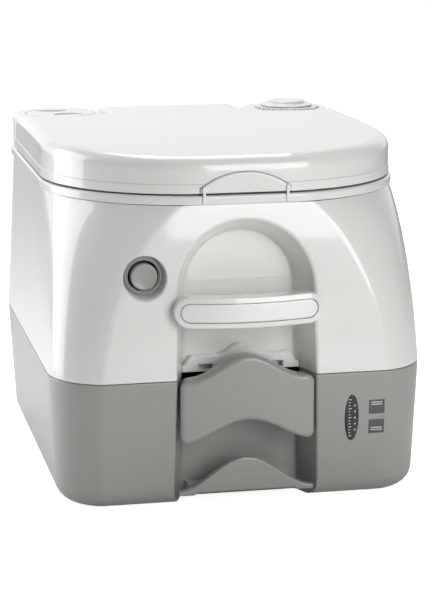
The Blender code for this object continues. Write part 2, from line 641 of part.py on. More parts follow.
def make_lid():
    """Lid with a hanging skirt; its rear edge rolls around the hinge, notched for the other knuckles."""
    turns = [math.radians(a) for a in (0, 30, 60, 90)]
    levels = [(LID_BOTTOM, 0.0)] + [(LID_TOP - LID_ROUND * (1 - math.sin(a)), LID_ROUND * (1 - math.cos(a)))
                                    for a in turns]
    lid = arch_top(loft("lid", [at_height(lid_outline(inset, LID_REAR - inset), z) for z, inset in levels],
                        WHITE_GLOSS, origin=(0, HINGE_Y, HINGE_Z)))
    inside = ((LID_BOTTOM - 5, LID_WALL), (LID_TOP - LID_ROUND, LID_WALL),
              (LID_TOP - LID_WALL, LID_WALL + 5))
    cut(lid, arch_top(loft("lid_inside", [at_height(lid_outline(inset, LID_REAR + 10), z)
                                          for z, inset in inside])))
    cut(lid, box("lid_rear_opening", (-80, HINGE_Y - 12, 255), (80, BEHIND, HINGE_Z)))
    for low, high, name in both_sides(LID_KNUCKLE) + ((-CENTRE_KNUCKLE, CENTRE_KNUCKLE, "middle"),):
        fuse(lid, rod("lid_knuckle_" + name, KNUCKLE_RADIUS, (low, HINGE_Y, HINGE_Z), high - low, "x"))
    for i, (low, high) in enumerate(((CENTRE_KNUCKLE, LID_KNUCKLE[0]), (LID_KNUCKLE[1], 80.0))):
        for start, end, name in both_sides((low, high)):
            cut(lid, box("lid_notch_%s_%d" % (name, i), (start, HINGE_Y - 10, 255), (end, BEHIND, 310)))
    cut(lid, hinge_bore("lid_bore"))
    cut(lid, prism("latch_pocket", latch_outline(GAP + 0.3), "xz", -200.0, -186.6))


def latch_outline(grow=0.0, bottom=LID_BOTTOM):
    """Flat-bottomed plate with a shallow arc for its top edge."""
    half, rise = LATCH_HALF + grow, LATCH_RISE
    radius = (half ** 2 + rise ** 2) / (2 * rise)
    sweep = math.degrees(math.asin(half / radius))
    top = arc(0.0, LATCH_LOW + rise + grow - radius, radius, 90 - sweep, 90 + sweep, 12)
    return [(-half, bottom - grow), (half, bottom - grow)] + top


def make_lid_latch():
    """Spring plate on the front of the lid, with two hooks in front of the flange."""
    latch = prism("lid_latch", latch_outline(bottom=LID_BOTTOM + 0.6), "xz", -190.6, -187.0, WHITE_GLOSS,
                  origin=(0, -187.0, 285.0))
    for low, high, name in both_sides((34.0, 38.0)):
        fuse(latch, box("latch_hook_" + name, (low, -191.8, 260.5), (high, -190.2, 275.0)))


# ---------------------------------------------------------------- handle, bezel and flush button

def stadium(half, radius, steps=4, parts=10):
    """Round-ended bar outline from its right tip, with straight runs split so that they can bend."""
    straight = half - radius
    quarter = arc(straight, 0.0, radius, 0.0, 90.0, steps)
    quarter += [(straight * (1 - 2 * i / parts), radius) for i in range(1, parts // 2)]
    top = quarter + [(0.0, radius)] + [(-x, z) for x, z in reversed(quarter)]
    return top + [(x, -z) for x, z in reversed(top[1:-1])]


def handle_ring(y_middle, inset, bow):
    """Outline of the carrying handle, bowed forwards in the middle."""
    return [(x, y_middle - bow * (1.0 - (x / HANDLE_HALF) ** 2), HANDLE_Z + dz)
            for x, dz in stadium(HANDLE_HALF - inset, HANDLE_RADIUS - inset)]


def make_handle():
    """Carrying handle across the alcove: end pads on the front face, a bowed bar with a badge between."""
    front, bow = HANDLE_FRONT, HANDLE_BOW
    bar = loft("handle_bar", [handle_ring(HANDLE_BACK, 0.0, 0.0), handle_ring(front + 3, 0.0, bow),
                              handle_ring(front, 3.5, bow)], WHITE_GLOSS, mirror_shift=0)
    finger_relief = [(-48, -195.0), (48, -195.0), (44, -203.5), (-44, -203.5)]
    cut(bar, loft("badge_pocket", [handle_ring(front + 1.2, 4.4, bow), handle_ring(front - 5, 4.4, bow)],
                  mirror_shift=0), prism("finger_relief", finger_relief, "xy", 150, 190))
    loft("handle_badge", [handle_ring(front + 0.9, 4.7, bow), handle_ring(front - 0.1, 4.7, bow)],
         SATIN_SILVER, mirror_shift=0)


def bezel_outline(drop=0.0):
    """Stepped hood: a round hump between two flat shoulders, with sloping ends."""
    half, foot, shoulder, hump, width = 54.0, 108.5 - drop, 119.5 - drop, 8.9, 23.0
    middle = []
    for i in range(9):
        x = blend(width, -width, i / 8)
        middle.append((x, shoulder + hump * 0.5 * (1 + math.cos(math.pi * x / width))))
    return [(half, foot), (half - 9.5, shoulder)] + middle + [(-half + 9.5, shoulder), (-half, foot)]


def make_valve_bezel():
    """White hood over the valve grip, shaped to the walls of the alcove."""
    hood = bezel_outline() + list(reversed([(x, max(z, SEAM_Z + 1)) for x, z in bezel_outline(6.0)]))
    bezel = prism("valve_bezel", hood, "xz", -180.0, ALCOVE_BACK + 5.0, WHITE_GLOSS)
    boolean(bezel, alcove("bezel_room", -GAP), "INTERSECT")


def make_flush_button():
    """Push button in its ring, with the flush valve and its spring behind the wall."""
    place = (BUTTON_X, -182.2, BUTTON_Z)
    turned("flush_bezel", [(13.2, -3.4), (15.0, -4.0), (16.6, -2.6), (16.6, -GAP), (13.2, -GAP)],
           place, "y", GREY_SATIN, steps=28)
    turned("flush_button", [(0, -4.4), (9.0, -4.6), (11.4, -5.4), (12.4, -4.4), (12.4, 2.0), (6.0, 2.0),
                            (6.0, 9.0), (0, 9.0)], place, "y", GREY_SATIN, steps=28)
    cup = [(0, 19.0), (15.5, 19.0), (15.5, 6.6), (24.0, 6.6), (24.0, 9.5), (18.0, 9.5), (18.0, 30.0),
           (0, 30.0)]
    body = turned("flush_valve_body", cup, place, "y", BLACK_SATIN, steps=20)
    fuse(body, rod("valve_inlet", 4.0, (BUTTON_X, -154.0, BUTTON_Z - 6), 8.0, "y", steps=12),
         rod("valve_outlet", 4.0, (BUTTON_X, -154.0, BUTTON_Z + 8), 8.0, "y", steps=12))
    ring("flush_spring", 7.0, 9.0, (BUTTON_X, -174.6, BUTTON_Z), 10.8, "y", STEEL, steps=14)


# ---------------------------------------------------------------- filler, pump, water lines

def make_filler():
    """Threaded neck, screw cap with two finger scoops, and its seal."""
    centre = (FILLER_X, TOWER_Y, 0)
    ring("fill_neck", 22.5, NECK_RADIUS - GAP, centre[:2] + (264,), 26.5, look=WHITE_GLOSS, steps=32)
    top, ceiling, brim, thread_end = TOWER_TOP + 0.4, TOWER_TOP - 4, CAP_SEAT + 4.1, TOWER_TOP - 28.5
    profile = [(0, ceiling), (18.0, ceiling), (18.0, thread_end), (22.0, thread_end), (22.0, brim),
               (CAP_RADIUS, brim), (CAP_RADIUS, top - 1.9), (CAP_RADIUS - 1.6, top), (0, top)]
    cap = turned("fill_cap", profile, centre, look=WHITE_GLOSS, steps=36)
    scoops = []
    for side, name in ((-1, "front"), (1, "rear")):
        outline = [(x, TOWER_Y + side * (6.0 + y)) for x, y in
                   [(FILLER_X + a, b) for a, b in arc(0.0, -16.0, 30.0, 32.0, 148.0, 8)]]
        scoops.append(prism("cap_scoop_" + name, outline, "xy", 298.6, 310.0))
    cut(cap, *scoops)
    ring("fill_cap_seal", 22.3, 30.0, centre[:2] + (291.1,), 1.7, look=SOFT_RUBBER, steps=32)


def make_pump():
    """Hand pump: toothed collar, cylinder, knob, rod and piston."""
    centre = (PUMP_X, TOWER_Y, 0)
    teeth = 24
    rings = []
    for z, outer in ((296.3, 32.6), (301.0, 32.6), (302.4, 30.8)):
        rings.append([(PUMP_X + (outer - 0.7 * (i % 2)) * math.cos(2 * math.pi * i / (2 * teeth)),
                       TOWER_Y + (outer - 0.7 * (i % 2)) * math.sin(2 * math.pi * i / (2 * teeth)), z)
                      for i in range(2 * teeth)])
    collar = loft("pump_collar", rings, WHITE_GLOSS)
    cut(collar, rod("collar_bore", 5.6, centre[:2] + (280,), 40, steps=20))
    outer, bore = PLUNGER_RADIUS + 2.6, PLUNGER_RADIUS + 0.4
    floor, rim = CYLINDER_FLOOR, PUMP_SEAT - GAP
    cylinder = turned("pump_cylinder", [(0, floor), (outer, floor), (outer, rim), (bore, rim),
                                        (bore, floor + 3), (0, floor + 3)], centre, look=BLACK_SATIN)
    fuse(cylinder, rod("cylinder_outlet", 4.0, (PUMP_X - 30.0, TOWER_Y, PUMP_OUTLET_Z), 12.0, "x", steps=12))
    base, crest = TOWER_TOP + 2.2, TOWER_TOP + 7.5
    turned("pump_knob", [(0, base), (26.0, base), (26.5, base + 1.0), (19.0, base + 2.7),
                         (18.5, crest - 0.8), (17.0, crest), (0, crest)],
           centre, look=WHITE_GLOSS, steps=32)
    rod("pump_rod", 5.2, centre[:2] + (206,), 96.4, look=STEEL, steps=16)
    ring("pump_piston_seal", 13.6, 17.2, centre[:2] + (196.0,), 4.0, look=SOFT_RUBBER)
    radius, groove, foot = PLUNGER_RADIUS, 13.3, 192.0
    turned("pump_piston", [(0, foot), (radius, foot), (radius, foot + 3.7), (groove, foot + 3.7),
                           (groove, foot + 8.3), (radius, foot + 8.3), (radius, foot + 13.7),
                           (0, foot + 13.7)], centre, look=BLACK_SATIN)


def make_water_lines():
    """Hoses from the pump to the flush valve and on to the rinse nozzle, and the outlet seal."""
    hose = ((0.75, 0.75, 0.75), 0.4, 0.0)
    tube_along("pump_hose", [(PUMP_X - 31.0, TOWER_Y, PUMP_OUTLET_Z), (55, 150, 184), (-40, 152, 180),
                             (-118, 100, 182), (-128, 0, 190), (-108, -100, 194),
                             (BUTTON_X, -130, BUTTON_Z - 6), (BUTTON_X, -145.0, BUTTON_Z - 6)],
               4.0, hose)
    tube_along("rinse_hose", [(BUTTON_X, -145.0, BUTTON_Z + 8), (BUTTON_X, -132, BUTTON_Z + 9),
                              (BUTTON_X - 8, -112, BUTTON_Z + 20), (-116, -84, 238), (-132, -54, 246),
                              (-132, -39, 246), (-123.4, -36, 246)], 3.5, hose)
    nozzle = rod("rinse_nozzle", NOZZLE_RADIUS, (-122.2, -36, 246), 24.0, "x", GREY_SATIN, steps=12)
    cut(nozzle, rod("nozzle_bore", 2.5, (-130, -36, 246), 28.0, "x", steps=12),
        box("nozzle_slot", (-101, -45, 243), (-99.6, -27, 249)))
    ring("outlet_seal", OUTLET_RADIUS + 3.4, OUTLET_RADIUS + 7.5, (0, BOWL_Y, SEAM_Z), 5.6,
         look=SOFT_RUBBER, steps=32)


# ---------------------------------------------------------------- latch that joins the tanks

def make_rear_latch():
    """Bracket with two ears, a lever on a pin between them, and the catch on the waste tank."""
    plate_y, ear_y = 196.9, 206.0
    ear = (17.4, 21.0)
    bracket = box("latch_bracket", (REAR_LATCH_X - ear[1], plate_y, REAR_LATCH_Z - 12),
                  (REAR_LATCH_X + ear[1], plate_y + 2.5, REAR_LATCH_Z + 14), GREY_SATIN)
    for low, high, name in both_sides(ear):
        fuse(bracket, box("bracket_ear_" + name, (REAR_LATCH_X + low, 198, REAR_LATCH_Z - 8),
                          (REAR_LATCH_X + high, ear_y, REAR_LATCH_Z + 8)))
    pin = (REAR_LATCH_X - 20.8, REAR_LATCH_Y, REAR_LATCH_Z)
    rod("latch_pin", 1.9, pin, 41.6, "x", STEEL, steps=12)
    knuckle = 3.4
    lever = [(REAR_LATCH_Y, 90.0), (REAR_LATCH_Y + knuckle, 90.0)]
    lever += arc(REAR_LATCH_Y, REAR_LATCH_Z, knuckle, 0.0, 180.0, 8)
    lever += [(199.9, 140.0), (199.9, 134.0), (REAR_LATCH_Y, 130.0)]
    arm = prism("latch_lever", lever, "yz", REAR_LATCH_X - 17.0, REAR_LATCH_X + 17.0, GREY_SATIN,
                origin=(REAR_LATCH_X, REAR_LATCH_Y, REAR_LATCH_Z))
    bore = rod("latch_bore", 2.2, (REAR_LATCH_X - 30, REAR_LATCH_Y, REAR_LATCH_Z), 60, "x", steps=12)
    cut(bracket, bore)
    cut(arm, bore)
    catch = [(196.8, 88.0), (202.4, 91.0), (202.4, 97.0), (196.8, 100.0)]
    prism("latch_catch", catch, "yz", REAR_LATCH_X - 15.0, REAR_LATCH_X + 15.0, GREY_SATIN)


def clear_scene():
    for item in list(bpy.data.objects):
        bpy.data.objects.remove(item, do_unlink=True)


clear_scene()
make_waste_tank()
make_level_gauge()
make_valve()
make_valve_grip()
make_front_lip()
make_spout()
make_shell()
make_floor()
make_deck()
make_hinge_pins()
make_seat()
make_lid()
make_lid_latch()
make_handle()
make_valve_bezel()
make_flush_button()
make_filler()
make_pump()
make_water_lines()
make_rear_latch()
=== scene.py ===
"""Portable camping toilet in a plain studio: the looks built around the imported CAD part.

Axes: +X to the right seen from the front, the front faces -Y, +Z up, origin on the floor.
Shapes are worked out in millimetres and turned into metres when a mesh is made.
"""
import json
import math

import bmesh
import bpy
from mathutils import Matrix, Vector


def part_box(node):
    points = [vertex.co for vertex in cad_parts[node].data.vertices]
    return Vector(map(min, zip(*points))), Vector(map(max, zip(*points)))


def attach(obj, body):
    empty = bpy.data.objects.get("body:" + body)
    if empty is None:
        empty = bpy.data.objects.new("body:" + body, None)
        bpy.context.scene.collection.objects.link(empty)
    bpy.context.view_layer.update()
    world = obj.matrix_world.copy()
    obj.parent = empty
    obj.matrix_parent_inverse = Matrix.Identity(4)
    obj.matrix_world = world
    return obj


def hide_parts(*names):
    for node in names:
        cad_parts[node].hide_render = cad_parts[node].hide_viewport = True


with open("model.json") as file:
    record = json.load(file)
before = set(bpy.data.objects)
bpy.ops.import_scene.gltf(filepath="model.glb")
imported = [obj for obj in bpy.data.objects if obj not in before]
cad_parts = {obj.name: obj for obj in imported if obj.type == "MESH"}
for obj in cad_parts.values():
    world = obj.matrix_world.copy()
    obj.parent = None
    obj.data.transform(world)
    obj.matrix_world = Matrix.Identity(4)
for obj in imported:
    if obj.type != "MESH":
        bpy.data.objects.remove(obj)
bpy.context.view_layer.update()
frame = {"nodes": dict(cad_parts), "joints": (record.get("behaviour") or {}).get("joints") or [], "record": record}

MM = 0.001
GAP = 0.3                      # clearance between neighbouring pieces


def box_mm(node):
    """Lowest and highest corner of a CAD node, in millimetres."""
    low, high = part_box(node)
    return [c / MM for c in low], [c / MM for c in high]


def middle_mm(node):
    """Middle of a CAD node's box, in millimetres."""
    low, high = box_mm(node)
    return [(a + b) / 2 for a, b in zip(low, high)]


# ---------------------------------------------------------------- sizes, from the frame

tank_high = box_mm("waste_tank_shell")[1]
shell_low, shell_high = box_mm("fresh_tank_shell")
lid_low, lid_high = box_mm("lid")
grip_low, grip_high = box_mm("valve_grip")
lip_low, lip_high = box_mm("front_lip")
handle_low, handle_high = box_mm("handle_bar")
bezel_high = box_mm("valve_bezel")[1]
latch_high = box_mm("lid_latch")[1]
collar_low, collar_high = box_mm("spout_collar")
window_low, window_high = box_mm("level_window")
joints = {joint["name"]: joint for joint in frame["joints"]}

SEAM_Z = (tank_high[2] + shell_low[2]) / 2
DECK_Z = shell_high[2]
SEAM_HALF, SEAM_FRONT, SEAM_REAR = shell_high[0], shell_low[1], shell_high[1]
FLOOR_HALF, FLOOR_FRONT, FLOOR_REAR = SEAM_HALF - 6.2, SEAM_FRONT + 5.4, SEAM_REAR - 4.3
DECK_HALF, DECK_FRONT, DECK_REAR = SEAM_HALF - 8.2, SEAM_FRONT + 9.4, SEAM_REAR - 2.0
REAR_RADIUS = 45.0
CREASE = 13.0                  # degrees between the flat front and the rounded corner
CREASE_RADIUS = 30.0
ARCH_HALF, ARCH_Z, ARCH_RISE = 127.3, SEAM_Z - 20.6, 194.0
TANK_FILLET = 16.0
TANK_WALL, SHELL_WALL = 4.0, 3.2

ALCOVE_RADIUS = 60.0
ALCOVE_Z = SEAM_Z + 77.4
ALCOVE_FLARE = 4.5
ALCOVE_DRAFT = 12.0
ALCOVE_BACK = SEAM_FRONT + 36.0
RIM_RADIUS = 4.0

FLANGE_TOP = DECK_Z + 8.3
FLANGE_HALF, FLANGE_FRONT, FLANGE_REAR = SEAM_HALF - 6.0, SEAM_FRONT + 7.0, SEAM_REAR
LID_HALF, LID_FRONT, LID_REAR = lid_high[0], lid_low[1], lid_high[1]
LID_BOTTOM = lid_low[2]
LID_CROWN, CROWN_Y = 4.5, (LID_FRONT + LID_REAR) / 2
LID_TOP = lid_high[2] - LID_CROWN
LID_ROUND, LID_WALL, LID_FLAT = 12.0, 3.0, 30.0
HINGE_Y, HINGE_Z = (c / MM for c in joints["seat_hinge"]["pos_m"][1:])
KNUCKLE_RADIUS, PIN_RADIUS = 6.6, 3.5
CENTRE_KNUCKLE = 21.6
DECK_KNUCKLES = ((22.0, 33.4), (56.0, 63.0))
SEAT_KNUCKLE = (34.0, 45.4)
LID_KNUCKLE = (45.8, 55.6)
EAR_FRONT = HINGE_Y - 10.0     # the lid's rear corners follow the towers round as far as this
SEAT_BOTTOM, SEAT_TOP = LID_BOTTOM + 0.6, LID_BOTTOM + 14.4
SEAT_MARGIN, SEAT_REAR = 8.0, 152.0

TOWER_X, TOWER_Y, TOWER_RADIUS = 116.0, 147.0, 45.0
TOWER_TOP = LID_TOP
TOWER_SCOOP = 46.4
FILLER_X, PUMP_X = middle_mm("fill_cap")[0], middle_mm("pump_collar")[0]

SEAT_HOLE = (-38.0, 98.0, 112.0)    # middle on Y, half width, half depth
BOWL_Y = middle_mm("outlet_seal")[1]
OUTLET_RADIUS = 45.0
BUTTON_X, BUTTON_Z = middle_mm("flush_bezel")[0], middle_mm("flush_bezel")[2]

GRIP_RISE, GRIP_CORNER = 20.5, 7.5
GRIP_TOP_WAVE = 53.0           # the hump of the top edge is narrower than the one below
HANDLE_BOW, HANDLE_SAG = 7.0, 1.3
BADGE_INSET, BADGE_GROOVE = 4.8, 0.6
HOOD_TOP, HOOD_DEPTH = bezel_high[2] + 2.2, 9.0
HOOD_GROOVE = 1.3              # shadow line between the hood and the wall behind it

# Where cutters end in the open.
ABOVE_TANK, ABOVE_ALL = SEAM_Z + 13.0, TOWER_TOP + 20.0
BEHIND, IN_FRONT = SEAM_REAR + 13.0, SEAM_FRONT - 33.0


# ---------------------------------------------------------------- outlines

def blend(start, end, share):
    """Value that lies a share of the way from start to end."""
    return start + (end - start) * share


def arc(centre_x, centre_y, radius, start, end, steps):
    """Points along a circle from one angle to another, in degrees."""
    angles = [math.radians(blend(start, end, i / steps)) for i in range(steps + 1)]
    return [(centre_x + radius * math.cos(a), centre_y + radius * math.sin(a)) for a in angles]


def quarter_round(radius, steps=6):
    """(inset, depth) pairs of a rounded edge, from the face that is inset to the side wall."""
    angles = [math.radians(90.0 * i / steps) for i in range(steps + 1)]
    return [(radius * (1 - math.sin(a)), radius * (1 - math.cos(a))) for a in angles]


def mirror_x(right_side):
    """Close an outline from its right half, listed from front to rear."""
    return right_side + [(-x, y) for x, y in reversed(right_side)]


def at_height(outline, z):
    """Lay a plan outline at one height."""
    return [(x, y, z) for x, y in outline]


def front_at(z):
    """Where the flat front of the body stands at a height."""
    if z <= SEAM_Z:
        return blend(FLOOR_FRONT, SEAM_FRONT, z / SEAM_Z)
    return blend(SEAM_FRONT, DECK_FRONT, (z - SEAM_Z) / (DECK_Z - SEAM_Z))


def body_at(z):
    """Half width, rear face and half width of the flat front at a height."""
    if z <= SEAM_Z:
        share = z / SEAM_Z
        half, rear = blend(FLOOR_HALF, SEAM_HALF, share), blend(FLOOR_REAR, SEAM_REAR, share)
    else:
        share = (z - SEAM_Z) / (DECK_Z - SEAM_Z)
        half, rear = blend(SEAM_HALF, DECK_HALF, share), blend(SEAM_REAR, DECK_REAR, share)
    lift = max(z - ARCH_Z, 0.0) / ARCH_RISE
    return half, rear, ARCH_HALF * math.sqrt(1.0 - lift * lift)


def body_outline(z, inset=0.0):
    """Plan outline of the body: flat front, softly creased corners, rounded rear corners."""
    half, rear, flat = body_at(z)
    front = front_at(z)
    crease = math.radians(CREASE)
    radius = (half - flat) / (1.0 - math.sin(crease))
    centre_x, centre_y = half - radius, front + radius * math.cos(crease)
    reach = CREASE_RADIUS * math.tan(crease / 2)
    right = arc(flat - reach, front + CREASE_RADIUS, CREASE_RADIUS - inset, -90.0, CREASE - 90.0, 5)
    past_crease = CREASE - 90.0 + math.degrees(reach / radius) * 1.6
    right += arc(centre_x, centre_y, radius - inset, past_crease, 0.0, 26)
    right += arc(half - REAR_RADIUS, rear - REAR_RADIUS, REAR_RADIUS - inset, 0.0, 90.0, 12)
    return mirror_x(right)


def rim_outline(inset=0.0):
    """Plan outline of the flange: wide round front corners and rounded rear corners."""
    radius = FLANGE_HALF - LID_FLAT
    right = arc(LID_FLAT, FLANGE_FRONT + radius, radius - inset, -90.0, 0.0, 40)
    corner_x, corner_y = FLANGE_HALF - REAR_RADIUS, FLANGE_REAR - REAR_RADIUS
    right += arc(corner_x, corner_y, REAR_RADIUS - inset, 0.0, 90.0, 14)
    return mirror_x(right)


def lid_outline(inset, rear):
    """Plan outline of the lid, scooped out around the towers; a long one has corners behind them."""
    radius = LID_HALF - LID_FLAT
    half = LID_HALF - inset
    scoop = TOWER_SCOOP + inset
    rise = math.sqrt(scoop ** 2 - (half - TOWER_X) ** 2)
    right = arc(LID_FLAT, LID_FRONT + radius, radius - inset, -90.0, 0.0, 40)
    start = -math.degrees(math.atan2(rise, half - TOWER_X))
    wrap = math.degrees(math.asin((EAR_FRONT - TOWER_Y) / scoop)) if rear > EAR_FRONT else 0.0
    right += arc(TOWER_X, TOWER_Y, scoop, start, -180.0 - wrap, 36)
    right.append((right[-1][0], rear))
    return mirror_x(right)


def lid_crown(y):
    """How far the lid's top stands above its front edge."""
    return LID_CROWN * (1.0 - ((y - CROWN_Y) / (CROWN_Y - LID_FRONT)) ** 2)


def ellipse(centre_y, half_x, half_y, steps=96):
    """Plan outline of an ellipse on the middle line."""
    angles = [2.0 * math.pi * i / steps for i in range(steps)]
    return [(half_x * math.cos(a), centre_y + half_y * math.sin(a)) for a in angles]


def wave(x, half=62.0):
    """Bell curve from 1 in the middle to 0 at the ends."""
    return 0.5 * (1.0 + math.cos(math.pi * min(abs(x) / half, 1.0)))


# ---------------------------------------------------------------- meshes

def mesh_object(name, verts, faces):
    """Object from millimetre points, with its origin at the frame's."""
    mesh = bpy.data.meshes.new(name)
    mesh.from_pydata([tuple(c * MM for c in point) for point in verts], [], faces)
    work = bmesh.new()
    work.from_mesh(mesh)
    bmesh.ops.remove_doubles(work, verts=work.verts, dist=1e-6)
    bmesh.ops.recalc_face_normals(work, faces=work.faces)
    work.to_mesh(mesh)
    work.free()
    made = bpy.data.objects.new(name, mesh)
    bpy.context.scene.collection.objects.link(made)
    return made


def cap_strips(count, shift):
    """Faces that fill a bowed outline in strips, each joining point k to its mirror image, shift - k."""
    strips = []
    for k in range(count // 2):
        corners = (k, k + 1, (shift - k - 1) % count, (shift - k) % count)
        face = tuple(dict.fromkeys(corners))
        if len(face) > 2:
            strips.append(face)
    return strips


def loft(name, rings, mirror_shift=None):
    """Skin a stack of outlines that have the same number of points, and cap both ends."""
    count = len(rings[0])
    verts = [point for ring in rings for point in ring]
    faces = []
    for low in range(0, len(verts) - count, count):
        for j in range(count):
            k = (j + 1) % count
            faces.append((low + j, low + k, low + count + k, low + count + j))
    cap = [tuple(range(count))] if mirror_shift is None else cap_strips(count, mirror_shift)
    for start in (0, len(verts) - count):
        faces += [tuple(start + corner for corner in face) for face in cap]
    return mesh_object(name, verts, faces)


def prism(name, outline, plane, low, high):
    """Extrude a flat outline: plane "xy" along Z, "xz" along Y, "yz" along X."""
    spot = {"xy": lambda a, b, c: (a, b, c),
            "xz": lambda a, b, c: (a, c, b),
            "yz": lambda a, b, c: (c, a, b)}[plane]
    return loft(name, [[spot(a, b, level) for a, b in outline] for level in (low, high)])


def box(name, low, high):
    """Upright block between two opposite corners."""
    outline = [(low[0], low[1]), (high[0], low[1]), (high[0], high[1]), (low[0], high[1])]
    return prism(name, outline, "xy", low[2], high[2])


def turned(name, profile, centre, axis="z", steps=96):
    """Turn a closed (radius, height) profile about an axis through centre."""
    spot = {"z": lambda r, s, h: (centre[0] + r, centre[1] + s, centre[2] + h),
            "y": lambda r, s, h: (centre[0] + r, centre[1] + h, centre[2] + s),
            "x": lambda r, s, h: (centre[0] + h, centre[1] + r, centre[2] + s)}[axis]
    verts = []
    for i in range(steps):
        angle = 2.0 * math.pi * i / steps
        verts += [spot(r * math.cos(angle), r * math.sin(angle), h) for r, h in profile]
    count = len(profile)
    faces = []
    for i in range(steps):
        here, after = i * count, ((i + 1) % steps) * count
        for j in range(count):
            k = (j + 1) % count
            if profile[j][0] == 0.0 and profile[k][0] == 0.0:
                continue
            faces.append((here + j, here + k, after + k, after + j))
    return mesh_object(name, verts, faces)


def rod(name, radius, centre, length, axis="z", steps=64):
    """Cylinder that starts at centre and runs along +axis."""
    profile = [(0.0, 0.0), (radius, 0.0), (radius, length), (0.0, length)]
    return turned(name, profile, centre, axis, steps)


def ring(name, inner, outer, centre, length, axis="z"):
    """Tube that starts at centre and runs along +axis."""
    return turned(name, [(inner, 0.0), (outer, 0.0), (outer, length), (inner, length)], centre, axis)


def combine(target, tools, operation):
    """Boolean the tools into the target, keep the result as its mesh, and drop the tools."""
    for tool in tools:
        change = target.modifiers.new(tool.name, "BOOLEAN")
        change.operation = operation
        change.solver = "EXACT"
        change.object = tool
    bpy.context.view_layer.update()
    shaped = target.evaluated_get(bpy.context.evaluated_depsgraph_get())
    target_mesh = bpy.data.meshes.new_from_object(shaped)
    target.modifiers.clear()
    target.data = target_mesh
    for tool in tools:
        bpy.data.objects.remove(tool, do_unlink=True)
    return target


def cut(target, *tools):
    """Take the tools away from the target."""
    return combine(target, tools, "DIFFERENCE")


def fuse(target, *tools):
    """Join the tools to the target."""
    return combine(target, tools, "UNION")


def place(piece, body, slot, *stands_for, look=None):
    """Give a finished piece its material, its body and the CAD nodes it stands for."""
    piece.data.materials.clear()
    piece.data.materials.append(LOOKS[look or slot])
    piece.data.shade_smooth()
    piece.data.set_sharp_from_angle(angle=math.radians(32))
    even = piece.modifiers.new("even_normals", "WEIGHTED_NORMAL")
    even.keep_sharp = True
    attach(piece, body)
    if stands_for:
        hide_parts(*stands_for)
    return piece


# ---------------------------------------------------------------- materials

def moulded(name, colour, roughness, coat=0.0, grain=0.15, metallic=0.0, coat_roughness=0.08):
    """Smooth material: slow colour drift, fine grain, soft edges that are worn a little lighter."""
    made = bpy.data.materials.new(name)
    made.use_nodes = True
    nodes, links = made.node_tree.nodes, made.node_tree.links
    shader = nodes["Principled BSDF"]
    position = nodes.new("ShaderNodeTexCoord")

    drift = nodes.new("ShaderNodeTexNoise")
    drift.inputs["Scale"].default_value = 7.0
    drift.inputs["Detail"].default_value = 3.0
    links.new(position.outputs["Object"], drift.inputs["Vector"])
    tint = nodes.new("ShaderNodeValToRGB")
    tint.color_ramp.elements[0].position = 0.3
    tint.color_ramp.elements[0].color = (*[c * 0.965 for c in colour], 1.0)
    tint.color_ramp.elements[1].position = 0.7
    tint.color_ramp.elements[1].color = (*colour, 1.0)
    links.new(drift.outputs["Fac"], tint.inputs["Fac"])

    surface = nodes.new("ShaderNodeNewGeometry")
    wear = nodes.new("ShaderNodeMapRange")
    wear.inputs["From Min"].default_value = 0.52
    wear.inputs["From Max"].default_value = 0.62
    wear.inputs["To Max"].default_value = 0.25
    links.new(surface.outputs["Pointiness"], wear.inputs["Value"])
    worn = nodes.new("ShaderNodeMix")
    worn.data_type = "RGBA"
    links.new(wear.outputs["Result"], worn.inputs["Factor"])
    links.new(tint.outputs["Color"], worn.inputs["A"])
    worn.inputs["B"].default_value = (*[min(c * 1.25 + 0.02, 0.95) for c in colour], 1.0)
    links.new(worn.outputs["Result"], shader.inputs["Base Color"])

    speckle = nodes.new("ShaderNodeTexNoise")
    speckle.inputs["Scale"].default_value = 900.0
    speckle.inputs["Detail"].default_value = 2.0
    links.new(position.outputs["Object"], speckle.inputs["Vector"])
    sheen = nodes.new("ShaderNodeMapRange")
    sheen.inputs["To Min"].default_value = max(roughness - 0.05, 0.02)
    sheen.inputs["To Max"].default_value = roughness + 0.05
    links.new(drift.outputs["Fac"], sheen.inputs["Value"])
    links.new(sheen.outputs["Result"], shader.inputs["Roughness"])

    soft_edges = nodes.new("ShaderNodeBevel")
    soft_edges.samples = 6
    soft_edges.inputs["Radius"].default_value = 0.9 * MM
    bump = nodes.new("ShaderNodeBump")
    bump.inputs["Strength"].default_value = grain
    bump.inputs["Distance"].default_value = 0.04 * MM
    links.new(speckle.outputs["Fac"], bump.inputs["Height"])
    links.new(soft_edges.outputs["Normal"], bump.inputs["Normal"])
    links.new(bump.outputs["Normal"], shader.inputs["Normal"])

    shader.inputs["Metallic"].default_value = metallic
    shader.inputs["Coat Weight"].default_value = coat
    shader.inputs["Coat Roughness"].default_value = coat_roughness
    return made


